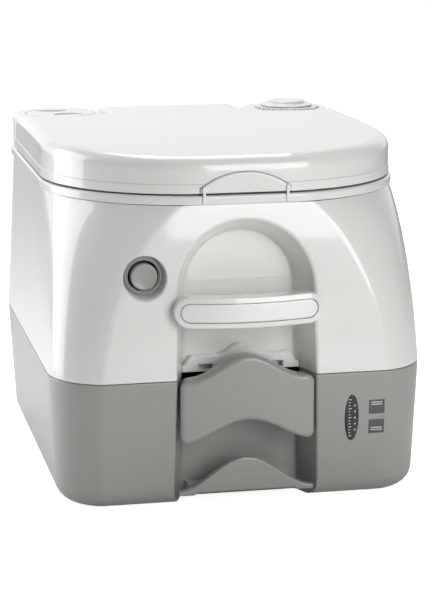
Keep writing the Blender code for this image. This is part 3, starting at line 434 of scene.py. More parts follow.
def make_looks():
    """One material for each slot name in the part's record, and two for the prints."""
    return {
        "white_gloss": moulded("white_gloss_look", (0.78, 0.785, 0.755), 0.34, coat=0.9, grain=0.05,
                               coat_roughness=0.045),
        "grey_satin": moulded("grey_satin_look", (0.325, 0.331, 0.308), 0.32, coat=0.35, grain=0.25,
                              coat_roughness=0.14),
        "dark_window": moulded("dark_window_look", (0.020, 0.012, 0.018), 0.12, coat=0.5, grain=0.02),
        "black_plastic": moulded("black_plastic_look", (0.025, 0.025, 0.028), 0.42, grain=0.4),
        "black_rubber": moulded("black_rubber_look", (0.03, 0.03, 0.03), 0.75, grain=0.8),
        "satin_silver": moulded("satin_silver_look", (0.80, 0.80, 0.80), 0.34, grain=0.1, metallic=0.25),
        "steel": moulded("steel_look", (0.55, 0.55, 0.56), 0.28, grain=0.3, metallic=1.0),
        "clear_hose": moulded("clear_hose_look", (0.70, 0.70, 0.68), 0.35, grain=0.1),
        "print_white": moulded("print_white_look", (0.72, 0.72, 0.74), 0.5, grain=0.1),
        "print_dark": moulded("print_dark_look", (0.085, 0.088, 0.085), 0.5, grain=0.3),
    }


# ---------------------------------------------------------------- bodies of the two tanks

def alcove(name, grow=0.0, rim=0.0):
    """Arched alcove as a cutter, from below the floor up; rim flares its mouth into a rounded edge."""
    back = ALCOVE_BACK + grow
    profile = []
    for angle in (8, 20, 35, 50, 65, 80, 90):
        a = math.radians(angle)
        profile.append((rim * (1 - math.sin(a)), rim * (1 - math.cos(a))))
    mouth = (profile[0][0] + rim, profile[0][1] - 0.15 * rim - 0.3)
    flared = [mouth] + profile if rim else [(0.0, 0.0)]
    stages = [(offset, depth, 0.0) for offset, depth in flared]
    fillet = 5.0
    stages += [(-ALCOVE_DRAFT * 0.45, 0.0, 0.5), (-ALCOVE_DRAFT * 0.8, -fillet, 1.0)]
    stages += [(-ALCOVE_DRAFT * 0.8 - inset, -depth, 1.0) for inset, depth in
               ((0.7, fillet * 0.5), (1.8, fillet * 0.2), (3.6, 0.0))]
    rings = []
    for offset, depth, share in [(stages[0][0], -30.0, 0.0)] + stages:
        radius = ALCOVE_RADIUS + grow + offset
        sides = [(radius + ALCOVE_FLARE * (ALCOVE_Z - z) / (ALCOVE_Z + 12.0), z)
                 for z in (-12.0, 0.0, 16.0, SEAM_Z)]
        outline = sides + arc(0.0, ALCOVE_Z, radius, 0.0, 180.0, 56)
        outline += [(-x, z) for x, z in reversed(sides)]
        rings.append([(x, blend(front_at(max(z, 0.0)), back, share) + depth, z) for x, z in outline])
    return loft(name, rings)


def body_block(name, heights_and_insets):
    """Solid block with the body's plan outline at each height."""
    return loft(name, [at_height(body_outline(z, inset), z) for z, inset in heights_and_insets])


def heights_between(low, high, steps):
    """Evenly spaced heights, both ends included."""
    return [blend(low, high, i / steps) for i in range(steps + 1)]


def make_waste_tank():
    """Grey lower tank: a hollow shell with a rounded foot, open where the valve and the spout lie."""
    fillet = [(depth, inset) for inset, depth in quarter_round(TANK_FILLET, 8)]
    edge = [(SEAM_Z - GAP - depth, inset) for inset, depth in reversed(quarter_round(1.2, 4))]
    tank = body_block("tank_skin", fillet + [(ARCH_Z, 0.0), (ARCH_Z + 8, 0.0)] + edge)

    wall = TANK_WALL
    cavity = body_block("tank_cavity", [(depth + wall, inset + wall) for depth, inset in fillet]
                        + [(ARCH_Z, wall), (SEAM_Z - wall, wall)])
    cut(cavity, alcove("cavity_alcove", wall), spout_bay("cavity_bay", wall),
        valve_channel("cavity_channel", wall))
    cut(tank, cavity, alcove("tank_alcove", rim=RIM_RADIUS * 0.7), spout_bay("bay"),
        valve_channel("channel"), *tank_holes())
    place(tank, "waste_tank", "grey_satin", "waste_tank_shell")


def spout_bay(name, grow=0.0):
    """Bay at the back where the emptying spout lies, open upwards and to the rear."""
    left = box_mm("spout_cap")[0][0] - 16.0
    low = (left - grow, collar_low[1] - 1.0 - grow, collar_low[2] - GAP - grow)
    return box(name, low, (collar_high[0] + 3.0 + grow, BEHIND, ABOVE_TANK))


def valve_channel(name, grow=0.0):
    """Channel that the slide valve's frame lies in, open upwards and into the alcove."""
    frame_low, frame_high = box_mm("valve_frame")
    half, rear = frame_high[0] + GAP + grow, frame_high[1] + GAP + grow
    return box(name, (-half, ALCOVE_BACK - 9.0, frame_low[2] - GAP - grow), (half, rear, ABOVE_TANK))


def tank_holes():
    """Cutters for the inlet under the bowl, the spout, the vent and the gauge window."""
    spout_x, spout_y, _ = (c / MM for c in joints["spout_swing"]["pos_m"])
    vent_x, vent_y, _ = middle_mm("vent_button")
    return (rod("tank_inlet", OUTLET_RADIUS - 3, (0, BOWL_Y, SEAM_Z - 26.6), 20),
            rod("spout_hole", 16.3, (spout_x, spout_y, collar_low[2] - 10.3), 20),
            rod("vent_hole", 5.0, (vent_x, vent_y, SEAM_Z - 11.6), 20),
            prism("level_pocket", level_outline(GAP), "xz", SEAM_FRONT - 3, SEAM_FRONT + 4.8))


def make_shell():
    """White casing of the fresh water tank: a thin wall from the seam up to the deck."""
    top = DECK_Z - SEAM_Z
    edge = [(SEAM_Z + GAP, 0.5), (SEAM_Z + GAP + 0.003 * top, 0.1)]
    wall = [(z, 0.0) for z in heights_between(SEAM_Z + 4, DECK_Z, 26)]
    shell = body_block("shell_skin", edge + wall)
    inner_heights = heights_between(SEAM_Z - 2, DECK_Z + 2, 14)
    inside = body_block("shell_inside", [(z, SHELL_WALL) for z in inner_heights])
    cut(inside, alcove("inside_alcove", SHELL_WALL),
        rod("button_boss", 25.5, (BUTTON_X, IN_FRONT, BUTTON_Z), 54.0, "y"))
    cut(shell, inside, alcove("shell_alcove", rim=RIM_RADIUS), button_dish())
    place(shell, "upper_unit", "white_gloss", "fresh_tank_shell")


def button_dish():
    """Round dish with a soft rim around the flush button, and the hole for its valve."""
    mouth, floor, hole = 21.6, 16.9, 13.6
    deep, through = 10.6, 22.0
    profile = [(0, -30), (mouth, -30), (mouth, -2.2), (20.2, -0.4), (19.2, 0.5), (18.8, 1.6),
               (floor + 0.5, deep - 0.7), (floor, deep), (hole, deep), (hole, through), (0, through)]
    return turned("button_dish", profile, (BUTTON_X, front_at(BUTTON_Z), BUTTON_Z), "y")


# ---------------------------------------------------------------- deck, bowl and towers

# Share of the way down, middle on Y, half width and half depth of the bowl.
BOWL_LEVELS = ((0.0, -38.0, 112.0, 122.0), (0.105, -36.0, 106.0, 112.0), (0.195, -32.0, 97.0, 98.0),
               (0.391, -27.0, 86.0, 87.0), (0.612, -20.0, 72.0, 73.0), (0.834, -11.0, 54.0, 54.0),
               (0.93, BOWL_Y, OUTLET_RADIUS, OUTLET_RADIUS), (1.0, BOWL_Y, OUTLET_RADIUS, OUTLET_RADIUS))


def bowl_block(name, grow, top, bottom):
    """Bowl as a stack of ellipses that shrink towards the outlet."""
    rings = []
    steps = 28
    for i in range(steps + 1):
        share = 1.0 - i / steps
        for above, below in zip(BOWL_LEVELS, BOWL_LEVELS[1:]):
            if above[0] <= share <= below[0]:
                t = (share - above[0]) / (below[0] - above[0])
                y, half_x, half_y = (blend(a, b, t) for a, b in zip(above[1:], below[1:]))
                break
        rings.append(at_height(ellipse(y, half_x + grow, half_y + grow), blend(top, bottom, share)))
    return loft(name, rings)


def hinge_lug(name, span, bottom, front, rear):
    """Rounded knuckle around the hinge line, standing on a foot."""
    outline = [(HINGE_Y + front, bottom), (HINGE_Y + rear, bottom)]
    outline += arc(HINGE_Y, HINGE_Z, KNUCKLE_RADIUS, 0.0, 180.0, 24)
    return prism(name, outline, "yz", span[0], span[1])


def knuckle(name, low, high):
    """Round stretch of the hinge, from one X to another."""
    return rod(name, KNUCKLE_RADIUS, (low, HINGE_Y, HINGE_Z), high - low, "x")


def both_sides(span):
    """The same stretch of the hinge line on the left and on the right, each with its name."""
    low, high = span
    return ((-high, -low, "left"), (low, high, "right"))


def hinge_bore(name):
    """Cutter for the hinge pins, with a little play around them."""
    return rod(name, PIN_RADIUS + 0.25, (-70, HINGE_Y, HINGE_Z), 140, "x", steps=24)


def tower(name, x):
    """Round tower with a soft upper edge, on which a cap or the pump sits."""
    foot = DECK_Z + 5.0
    edge = [(TOWER_RADIUS - inset, TOWER_TOP - depth)
            for inset, depth in reversed(quarter_round(4.5, 8))]
    profile = [(0, foot), (TOWER_RADIUS, foot)] + edge + [(0, TOWER_TOP)]
    return turned(name, profile, (x, TOWER_Y, 0))


def tower_cutters(name, x, bore, seat, seat_z, bevel, hollow_height):
    """Hollow inside a tower's wall, and a bore that widens into a bevelled seat at the top."""
    bottom = DECK_Z - 19.0
    profile = [(0, bottom), (bore, bottom), (bore, seat_z), (seat, seat_z), (seat, TOWER_TOP - bevel),
               (seat + bevel, TOWER_TOP + 0.1), (seat + bevel, ABOVE_ALL), (0, ABOVE_ALL)]
    foot = (x, TOWER_Y, DECK_Z - 9.0)
    hollow = ring(name + "_hollow", bore + 4, TOWER_RADIUS - 5.5, foot, hollow_height)
    return hollow, turned(name + "_bore", profile, (x, TOWER_Y, 0))


def make_deck():
    """Deck with its flange, the two rear towers, the hinge lugs and the bowl, moulded in one."""
    under = [(DECK_Z + GAP + depth, inset) for inset, depth in quarter_round(1.2, 4)]
    over = [(FLANGE_TOP - depth, inset) for inset, depth in reversed(quarter_round(2.2, 6))]
    deck = loft("deck_skin", [at_height(rim_outline(inset), z) for z, inset in under + over])
    bottom = SEAM_Z + 2.6
    fuse(deck, bowl_block("bowl_outside", 3.0, FLANGE_TOP - 2, bottom),
         tower("tower_left", -TOWER_X), tower("tower_right", TOWER_X))
    _, nozzle_y, nozzle_z = middle_mm("rinse_nozzle")
    cut(deck, bowl_block("bowl_inside", 0.0, FLANGE_TOP + 5, SEAM_Z - 5),
        *tower_cutters("filler", FILLER_X, 27.0, 34.0, TOWER_TOP - 11.5, 1.4, 36.0),
        *tower_cutters("pump", PUMP_X, 20.0, 33.0, TOWER_TOP - 4.5, 0.8, 40.0),
        rod("nozzle_hole", 5.3, (box_mm("rinse_nozzle")[0][0] - 2.8, nozzle_y, nozzle_z), 30, "x"))
    lugs = []
    for i, span in enumerate(DECK_KNUCKLES):
        for low, high, name in both_sides(span):
            lugs.append(hinge_lug("deck_lug_%s_%d" % (name, i), (low, high), DECK_Z + 1, -8, 6))
    fuse(deck, *lugs)
    cut(deck, hinge_bore("deck_bore"))
    place(deck, "upper_unit", "white_gloss", "deck_and_bowl")


# ---------------------------------------------------------------- seat and lid

def make_seat():
    """Hollow seat ring with a rounded opening and two necks that rise to the hinge line."""
    edge = [(SEAT_TOP - depth, SEAT_MARGIN + inset) for inset, depth in reversed(quarter_round(4.0, 6))]
    levels = [(SEAT_BOTTOM, SEAT_MARGIN + 0.5), (SEAT_BOTTOM + 0.6, SEAT_MARGIN)] + edge
    seat = loft("seat_skin", [at_height(lid_outline(inset, SEAT_REAR), z) for z, inset in levels])
    hole = [(SEAT_BOTTOM - 5, 0.0)] + [(SEAT_TOP - depth, inset) for depth, inset in
                                       ((6.0, 0.0), (3.0, 0.6), (1.2, 1.8), (0.2, 3.8), (-1.0, 6.0))]
    middle, half_width, half_depth = SEAT_HOLE
    cut(seat, loft("seat_hole", [at_height(ellipse(middle, half_width + grow, half_depth + grow), z)
                                 for z, grow in hole]))
    wall = 4.0
    hollow = prism("seat_hollow", lid_outline(SEAT_MARGIN + wall, SEAT_REAR - wall), "xy",
                   SEAT_BOTTOM - 20, SEAT_TOP - wall)
    cut(hollow, prism("seat_collar", ellipse(middle, half_width + wall, half_depth + wall), "xy",
                      SEAT_BOTTOM - 30, SEAT_TOP + 10))
    cut(seat, hollow)
    neck = [(SEAT_REAR - 10, SEAT_BOTTOM + 1.8), (SEAT_REAR + 16, SEAT_BOTTOM + 1.8),
            (HINGE_Y + 7.5, HINGE_Z - 5), (HINGE_Y, HINGE_Z), (HINGE_Y - 6, HINGE_Z + 5),
            (SEAT_REAR, SEAT_TOP - 1), (SEAT_REAR - 10, SEAT_TOP - 1)]
    arms = []
    for low, high, name in both_sides(SEAT_KNUCKLE):
        arms.append(prism("seat_arm_" + name, neck, "yz", low, high))
        arms.append(knuckle("seat_knuckle_" + name, low, high))
    fuse(seat, *arms)
    cut(seat, hinge_bore("seat_bore"))
    place(seat, "seat", "white_gloss", "seat")


def arch_top(made, strips=30):
    """Slice a lid block across into strips, and lift everything above its skirt to the crown."""
    work = bmesh.new()
    work.from_mesh(made.data)
    for i in range(1, strips):
        y = blend(LID_FRONT, LID_REAR, i / strips) * MM
        bmesh.ops.bisect_plane(work, geom=work.verts[:] + work.edges[:] + work.faces[:],
                               plane_co=(0.0, y, 0.0), plane_no=(0.0, 1.0, 0.0), dist=1e-6)
    skirt_top = LID_TOP - LID_ROUND - GAP
    for vert in work.verts:
        if vert.co.z / MM > skirt_top:
            vert.co.z += lid_crown(vert.co.y / MM) * MM
    work.to_mesh(made.data)
    work.free()
    return made


def make_lid():
    """Lid with a hanging skirt and a faint step above its lower edge, and a roll around the hinge."""
    step_z, step_in = LID_BOTTOM + 8.0, 0.55
    edge = [(LID_TOP - depth, step_in + inset)
            for inset, depth in reversed(quarter_round(LID_ROUND, 10))]
    levels = [(LID_BOTTOM, 0.9), (LID_BOTTOM + 0.35, 0.3), (LID_BOTTOM + 1.0, 0.0), (step_z, 0.0),
              (step_z + 0.5, step_in)] + edge
    lid = arch_top(loft("lid_skin", [at_height(lid_outline(inset, LID_REAR - inset), z)
                                     for z, inset in levels]))
    inside = [(LID_BOTTOM - 5, LID_WALL), (LID_TOP - LID_ROUND, LID_WALL),
              (LID_TOP - LID_WALL, LID_WALL + 5)]
    cut(lid, arch_top(loft("lid_inside", [at_height(lid_outline(inset, LID_REAR + 10), z)
                                          for z, inset in inside])))
    below, corner = LID_BOTTOM - 20, 80.0
    cut(lid, box("lid_rear_opening", (-corner, HINGE_Y - 12, below), (corner, BEHIND, HINGE_Z)),
        *[box("lid_corner_opening_" + name, (low, TOWER_Y - 2, below), (high, HINGE_Y, HINGE_Z))
          for low, high, name in both_sides((TOWER_X - TOWER_SCOOP - 5, corner))])
    spans = both_sides(LID_KNUCKLE) + ((-CENTRE_KNUCKLE, CENTRE_KNUCKLE, "middle"),)
    fuse(lid, *[knuckle("lid_knuckle_" + name, low, high) for low, high, name in spans])
    gaps = ((CENTRE_KNUCKLE, LID_KNUCKLE[0]), (LID_KNUCKLE[1], DECK_KNUCKLES[1][1] + 2 * GAP))
    notches = [box("lid_notch_" + name, (start, HINGE_Y - 8, below), (end, BEHIND, LID_TOP + 10))
               for span in gaps for start, end, name in both_sides(span)]
    cut(lid, *notches)
    cut(lid, hinge_bore("lid_bore"), prism("latch_pocket", latch_outline(GAP + 0.15), "xz",
                                           LID_FRONT - 12, LID_FRONT + 1.9))
    place(lid, "lid", "white_gloss", "lid")


def latch_outline(grow=0.0, bottom=LID_BOTTOM):
    """Flat-bottomed plate with a shallow arc for its top edge."""
    half, rise = latch_high[0] + grow, 14.0
    radius = (half ** 2 + rise ** 2) / (2 * rise)
    sweep = math.degrees(math.asin(half / radius))
    top = arc(0.0, latch_high[2] + grow - radius, radius, 90 - sweep, 90 + sweep, 40)
    return [(-half, bottom - grow), (half, bottom - grow)] + top


def make_lid_latch():
    """Thin latch plate in the lid's front, with two hooks that reach down over the flange."""
    front, rear = LID_FRONT - 1.7, LID_FRONT + 1.0
    layers = [[(x, front + depth, z) for x, z in latch_outline(-inset, LID_BOTTOM + 0.6)]
              for inset, depth in quarter_round(1.2, 5)]
    layers.append([(x, rear, z) for x, z in latch_outline(0.0, LID_BOTTOM + 0.6)])
    latch = loft("latch_skin", layers)
    hooks = [box("latch_hook_" + name, (low, FLANGE_FRONT - 1.1, LID_BOTTOM - 8.1),
                 (high, front + 0.6, LID_BOTTOM + 6.4)) for low, high, name in both_sides((35.6, 38.2))]
    fuse(latch, *hooks)
    place(latch, "lid_latch", "white_gloss", "lid_latch")


# ---------------------------------------------------------------- front fittings

def grip_outline(inset=0.0, steps=60):
    """Wave-shaped pull grip: the top and bottom edges rise together in the middle."""
    half, corner = grip_high[0] - inset, GRIP_CORNER - inset
    angles = [math.pi * (i / steps - 0.5) for i in range(steps + 1)]
    xs = [half * math.sin(a) for a in angles]
    low, high = grip_low[2] + inset, grip_high[2] - 1.5 - GRIP_RISE - inset
    past = [min(max((abs(x) - half) / corner + 1.0, 0.0), 1.0) for x in xs]
    rounding = [corner * (1.0 - math.sqrt(1.0 - share ** 2)) for share in past]
    bottom = [(x, low + GRIP_RISE * wave(x) + lift) for x, lift in zip(xs, rounding)]
    top = [(x, high + GRIP_RISE * wave(x, GRIP_TOP_WAVE) - drop) for x, drop in zip(xs, rounding)]
    return bottom + top[::-1]


def make_valve_grip():
    """Hollow grip, open to the rear, with a rounded front that bulges towards the user."""
    front, rear, bulge, taper = grip_low[1], grip_high[1], 4.0, 0.965
    rings = []
    for inset, depth in quarter_round(5.0, 8):
        rings.append([(x, front + depth + bulge * (x / grip_high[0]) ** 2 * (1 - depth / 10), z)
                      for x, z in grip_outline(inset)])
    rings.append([(x * taper, rear, z) for x, z in grip_outline()])
    grip = loft("grip_skin", rings, mirror_shift=-1)
    inside = [[(x * taper, y, z) for x, z in grip_outline(3.2)] for y in (front + 7.6, rear + 18)]
    cut(grip, loft("grip_hollow", inside))
    place(grip, "slide_valve", "grey_satin", "valve_grip")


def lip_outline(inset=0.0, steps=60):
    """Wave that stands up from the floor in front of the alcove, on two low feet."""
    half, base = lip_high[0] - inset, lip_low[2] + inset
    rise, foot, lift = 28.5, 14.0, 2.0
    low = lip_high[2] - rise - inset
    xs = [blend(-half, half, i / steps) for i in range(steps + 1)]
    top = [(x, low + rise * wave(x)) for x in reversed(xs)]
    return [(-half, base), (-half + foot, base), (-half + foot + lift, base + lift),
            (half - foot - lift, base + lift), (half - foot, base), (half, base)] + top


def make_front_lip():
    """Lip with a rounded front edge, and a web that ties it to the alcove's back."""
    front = lip_low[1]
    layers = [[(x, front + depth, z) for x, z in lip_outline(inset)]
              for inset, depth in quarter_round(2.2, 6)]
    layers.append([(x, front + 6.0, z) for x, z in lip_outline()])
    lip = loft("lip_skin", layers)
    web = lip_high[0] - 12.0
    fuse(lip, box("lip_web", (-web, front + 5, lip_low[2] + 1.2), (web, lip_high[1], lip_low[2] + 5.2)))
    place(lip, "waste_tank", "grey_satin", "front_lip")


def stadium(half, radius, steps=14, parts=24):
    """Round-ended bar outline from its right tip, with straight runs split so that they can bend."""
    straight = half - radius
    quarter = arc(straight, 0.0, radius, 0.0, 90.0, steps)
    quarter += [(straight * (1 - 2 * i / parts), radius) for i in range(1, parts // 2)]
    top = quarter + [(0.0, radius)] + [(-x, z) for x, z in reversed(quarter)]
    return top + [(x, -z) for x, z in reversed(top[1:-1])]


def handle_ring(y_middle, inset, bow):
    """Outline of the carrying handle, bowed forwards and sagging a little in the middle."""
    half, radius = handle_high[0], (handle_high[2] - handle_low[2]) / 2
    z = (handle_high[2] + handle_low[2]) / 2
    return [(x, y_middle - bow * (1.0 - (x / half) ** 2), z + dz - HANDLE_SAG * (1.0 - (x / half) ** 2))
            for x, dz in stadium(half - inset, radius - inset)]


def make_handle():
    """Carrying handle across the alcove, with a faintly domed border around a satin badge."""
    back = handle_high[1]
    front = handle_low[1] + HANDLE_BOW
    rings = [handle_ring(back, 0.6, 0.0), handle_ring(back - 0.6, 0.0, 0.3),
             handle_ring(front + 5.5, 0.0, HANDLE_BOW)]
    border = ((1.8, 0.0), (1.2, 0.15), (0.8, 0.5), (0.0, 4.6))
    rings += [handle_ring(front + depth, inset, HANDLE_BOW) for depth, inset in border]
    bar = loft("handle_skin", rings, mirror_shift=0)
    pocket_rings = [handle_ring(y, BADGE_INSET, HANDLE_BOW) for y in (front + 2.6, front - 5)]
    pocket = loft("badge_pocket", pocket_rings, mirror_shift=0)
    relief = [(-48, back + 3), (48, back + 3), (44, back - 7), (-44, back - 7)]
    relief_top = handle_high[2] - HANDLE_SAG - 3.0
    cut(bar, pocket, prism("finger_relief", relief, "xy", handle_low[2] - 10, relief_top))
    place(bar, "upper_unit", "white_gloss", "handle_bar")

    margin = BADGE_INSET + BADGE_GROOVE
    edge = [handle_ring(front + 0.15 + depth, margin + inset, HANDLE_BOW)
            for inset, depth in quarter_round(0.8, 4)]
    badge = loft("badge_skin", edge + [handle_ring(front + 2.3, margin, HANDLE_BOW)], mirror_shift=0)
    place(badge, "upper_unit", "satin_silver", "handle_badge")


def bezel_outline(drop=0.0):
    """Stepped hood: a round hump between two flat shoulders, with sloping ends that step down."""
    half, width, hump = bezel_high[0], 21.0, 9.4
    shoulder = HOOD_TOP - hump - drop
    middle = []
    for i in range(41):
        x = blend(width, -width, i / 40)
        middle.append((x, shoulder + hump * wave(x, width)))
    end = [(half, shoulder - 12.0), (half, shoulder - 8.4), (half - 3.6, shoulder - 7.6),
           (half - 9.5, shoulder)]
    return end + middle + [(-x, z) for x, z in reversed(end)]


def make_valve_bezel():
    """Hood on the alcove's back wall, with a slot in each shoulder."""
    floor = SEAM_Z + 1
    foot = [(-bezel_high[0], floor), (bezel_high[0], floor)]
    front = ALCOVE_BACK - HOOD_DEPTH
    bezel = prism("bezel_skin", foot + bezel_outline(), "xz", front, ALCOVE_BACK - HOOD_GROOVE)
    root_outline = foot + bezel_outline(HOOD_GROOVE)
    fuse(bezel, prism("bezel_root", root_outline, "xz", ALCOVE_BACK - 4, ALCOVE_BACK + 5))
    combine(bezel, [alcove("bezel_room", -GAP)], "INTERSECT")
    slot_low, slot_high = HOOD_TOP - 22.0, HOOD_TOP - 16.4
    cut(bezel, *[box("hood_slot_" + name, (low, front - 1, slot_low), (high, ALCOVE_BACK, slot_high))
                 for low, high, name in both_sides((25.5, 38.5))])
    place(bezel, "upper_unit", "white_gloss", "valve_bezel")


def make_flush_button():
    """Low ring at the bottom of the dish, and a button with a raised edge that stands out of it."""
    centre = (BUTTON_X, middle_mm("flush_bezel")[1] + 1.85, BUTTON_Z)
    outer = [(14.0, -1.7), (14.2, -2.1), (14.6, -2.2), (15.0, -2.0), (15.2, -1.5), (15.4, -0.9),
             (16.6, -0.8), (16.6, -GAP), (14.0, -GAP)]
    place(turned("button_bezel_skin", outer, centre, "y"), "upper_unit", "grey_satin", "flush_bezel")
    dome = [(0, -4.4), (5.0, -4.5), (8.6, -4.8), (9.8, -5.2), (10.8, -5.2), (11.4, -4.8),
            (11.7, -4.0), (11.7, 2.0), (6.0, 2.0), (6.0, 9.0), (0, 9.0)]
    place(turned("button_skin", dome, centre, "y"), "flush_button", "grey_satin", "flush_button")


# ---------------------------------------------------------------- level gauge and its print

def level_outline(grow=0.0, steps=24):
    """Tall oval around the middle of the gauge."""
    centre_x, _, centre_z = middle_mm("level_window")
    half_width = (window_high[0] - window_low[0]) / 2 + grow
    half_height = (window_high[2] - window_low[2]) / 2 + grow
    angles = [math.pi * i / steps for i in range(2 * steps)]
    return [(centre_x + half_width * math.cos(a), centre_z + half_height * math.sin(a)) for a in angles]


def make_level_gauge():
    """Dark window with a soft edge, and pale dashes and dots on it."""
    front, rear = window_low[1], window_high[1]
    layers = [[(x, front + depth, z) for x, z in level_outline(-inset)]
              for inset, depth in quarter_round(0.9, 4)]
    layers.append([(x, rear, z) for x, z in level_outline()])
    place(loft("window_skin", layers), "waste_tank", "dark_window", "level_window")

    centre_x, _, centre_z = middle_mm("level_window")
    half_height = (window_high[2] - window_low[2]) / 2
    marks = []
    for i in range(-6, 7):
        z = centre_z + half_height * 0.8 * i / 6
        long_mark = 2.6 if i % 3 == 0 else 1.5
        start = centre_x - 3.2
        marks.append(box("dash_%d" % i, (start, front - 0.15, z - 0.35),
                         (start + long_mark, front + 0.5, z + 0.35)))
    for i in (-4, -2, 0, 2, 4):
        z = centre_z + half_height * 0.8 * i / 6
        marks.append(rod("dot_%d" % i, 0.75, (centre_x + 2.6, front - 0.15, z), 0.65, "y", 16))
    print_piece("level_marks", marks)


def print_piece(name, parts):
    """Join small pale prints into one piece on the tank."""
    whole = fuse(parts[0], *parts[1:])
    whole.name = name
    whole.data.materials.clear()
    whole.data.materials.append(LOOKS["print_white"])
    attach(whole, "waste_tank")


def front_plate(name, corner, size, rise, root):
    """Thin upright plate that follows the slant of the tank's front."""
    (x, low), (width, height) = corner, size
    outline = [(x, low), (x + width, low), (x + width, low + height), (x, low + height)]
    return loft(name, [[(a, front_at(z) + depth, z) for a, z in outline] for depth in (rise, root)])


def make_tiles():
    """Two dark tiles beside the gauge, each with plain pale bars."""
    left, width, height = 111.0, 14.3, 12.8
    for number, low, bar_share in ((1, 75.5, 0.72), (2, 57.3, 0.30)):
        tile = front_plate("tile_%d" % number, (left, low), (width, height), -0.18, 0.5)
        place(tile, "waste_tank", "dark_window", look="print_dark")
        bars = []
        for row in range(2):
            z = low + height * bar_share + row * 2.0 - 1.0
            bars.append(front_plate("bar_%d_%d" % (number, row), (left + 2, z), (width - 4, 0.8),
                                    -0.3, 0.2))
        print_piece("tile_bars_%d" % number, bars)


# ---------------------------------------------------------------- caps and pump

def make_fill_cap():
    """Screw cap with a hollow skirt and two half-round finger recesses on either side of a bar."""
    centre = (FILLER_X, TOWER_Y, 0)
    top = TOWER_TOP + 0.4
    radius = 33.4
    rim = [(radius - inset, top - depth) for inset, depth in reversed(quarter_round(1.8, 6))]
    under = top - 7.8
    skirt = [(0, under + 3.4), (18.0, under + 3.4), (18.0, under - 21.1), (22.0, under - 21.1),
             (22.0, under), (radius, under)]
    cap = turned("fill_cap_skin", skirt + rim + [(0, top)], centre)
    scoops = []
    for side, name in ((-1, "front"), (1, "rear")):
        rings = []
        for grow, z in ((-1.6, top - 3.9), (-0.6, top - 3.6), (0.0, top - 2.8), (0.4, top + 4.0)):
            outline = arc(-6.0, -20.0, 15.0 + grow, 0.0, 180.0, 30)
            rings.append([(FILLER_X + side * x, TOWER_Y - side * y, z) for x, y in outline])
        scoops.append(loft("cap_scoop_" + name, rings))
    cut(cap, *scoops)
    place(cap, "filler_cap", "white_gloss", "fill_cap")


def make_pump_top():
    """Toothed collar around the pump, and the stepped round knob above it."""
    centre = (PUMP_X, TOWER_Y, 0)
    teeth, tooth_depth = 30, 1.8
    base = TOWER_TOP - 4.2
    rings = []
    for z, outer in ((base, 32.6), (base + 4.9, 32.6), (base + 5.6, 32.1), (base + 6.1, 30.8)):
        outline = []
        for i in range(4 * teeth):
            radius = outer - (tooth_depth if i % 4 in (2, 3) else 0.0)
            angle = 2 * math.pi * i / (4 * teeth)
            outline.append((PUMP_X + radius * math.cos(angle), TOWER_Y + radius * math.sin(angle)))
        rings.append(at_height(outline, z))
    collar = loft("pump_collar_skin", rings)
    cut(collar, rod("collar_bore", 5.6, (PUMP_X, TOWER_Y, base - 24), 40))
    place(collar, "upper_unit", "white_gloss", "pump_collar")

    knob_base = base + 6.4
    steps = ((0, 0), (26.0, 0), (26.4, 0.5), (26.3, 1.1), (24.0, 1.9), (19.4, 2.7), (18.9, 3.2),
             (18.6, 4.4), (18.0, 5.0), (17.0, 5.3), (0, 5.3))
    knob = [(radius, knob_base + height) for radius, height in steps]
    place(turned("pump_knob_skin", knob, centre), "pump_plunger", "white_gloss", "pump_knob")


def dress_cad_nodes():
    """Give every CAD node that is still shown its material and smooth round faces."""
    slots = {part["node"]: part["material_slot"] for part in frame["record"]["subparts"]}
    for name, node in frame["nodes"].items():
        node.data.materials.clear()
        node.data.materials.append(LOOKS[slots[name]])
        node.data.shade_smooth()
        weld = node.modifiers.new("weld", "WELD")
        weld.merge_threshold = 0.005 * MM
        split = node.modifiers.new("hard_edges", "EDGE_SPLIT")
        split.split_angle = math.radians(32)


# ---------------------------------------------------------------- studio

FLOOR_GLOW = 0.85
ROOM_FRONT, ROOM_REAR = 0.05, 0.92    # brightness of the room in front of and behind the object


def make_floor():
    """Pale floor that stays nearly white to the camera and keeps a soft shadow under the object."""
    reach = 9000
    floor = mesh_object("floor", [(-reach, -reach, -GAP), (reach, -reach, -GAP), (reach, reach, -GAP),
                                  (-reach, reach, -GAP)], [(0, 1, 2, 3)])
    paint = bpy.data.materials.new("floor_paint")
    paint.use_nodes = True
    nodes, links = paint.node_tree.nodes, paint.node_tree.links
    shader = nodes["Principled BSDF"]
    noise = nodes.new("ShaderNodeTexNoise")
    noise.inputs["Scale"].default_value = 3.0
    tint = nodes.new("ShaderNodeValToRGB")
    tint.color_ramp.elements[0].color = (0.88, 0.88, 0.88, 1.0)
    tint.color_ramp.elements[1].color = (0.92, 0.92, 0.92, 1.0)
    links.new(noise.outputs["Fac"], tint.inputs["Fac"])
    links.new(tint.outputs["Color"], shader.inputs["Base Color"])
    shader.inputs["Roughness"].default_value = 0.9
    shader.inputs["Specular IOR Level"].default_value = 0.1
    path = nodes.new("ShaderNodeLightPath")
    lift = nodes.new("ShaderNodeMath")
    lift.operation = "MULTIPLY"
    lift.inputs[1].default_value = FLOOR_GLOW
    links.new(path.outputs["Is Camera Ray"], lift.inputs[0])
    shader.inputs["Emission Color"].default_value = (1.0, 1.0, 1.0, 1.0)
    links.new(lift.outputs["Value"], shader.inputs["Emission Strength"])
    floor.data.materials.append(paint)


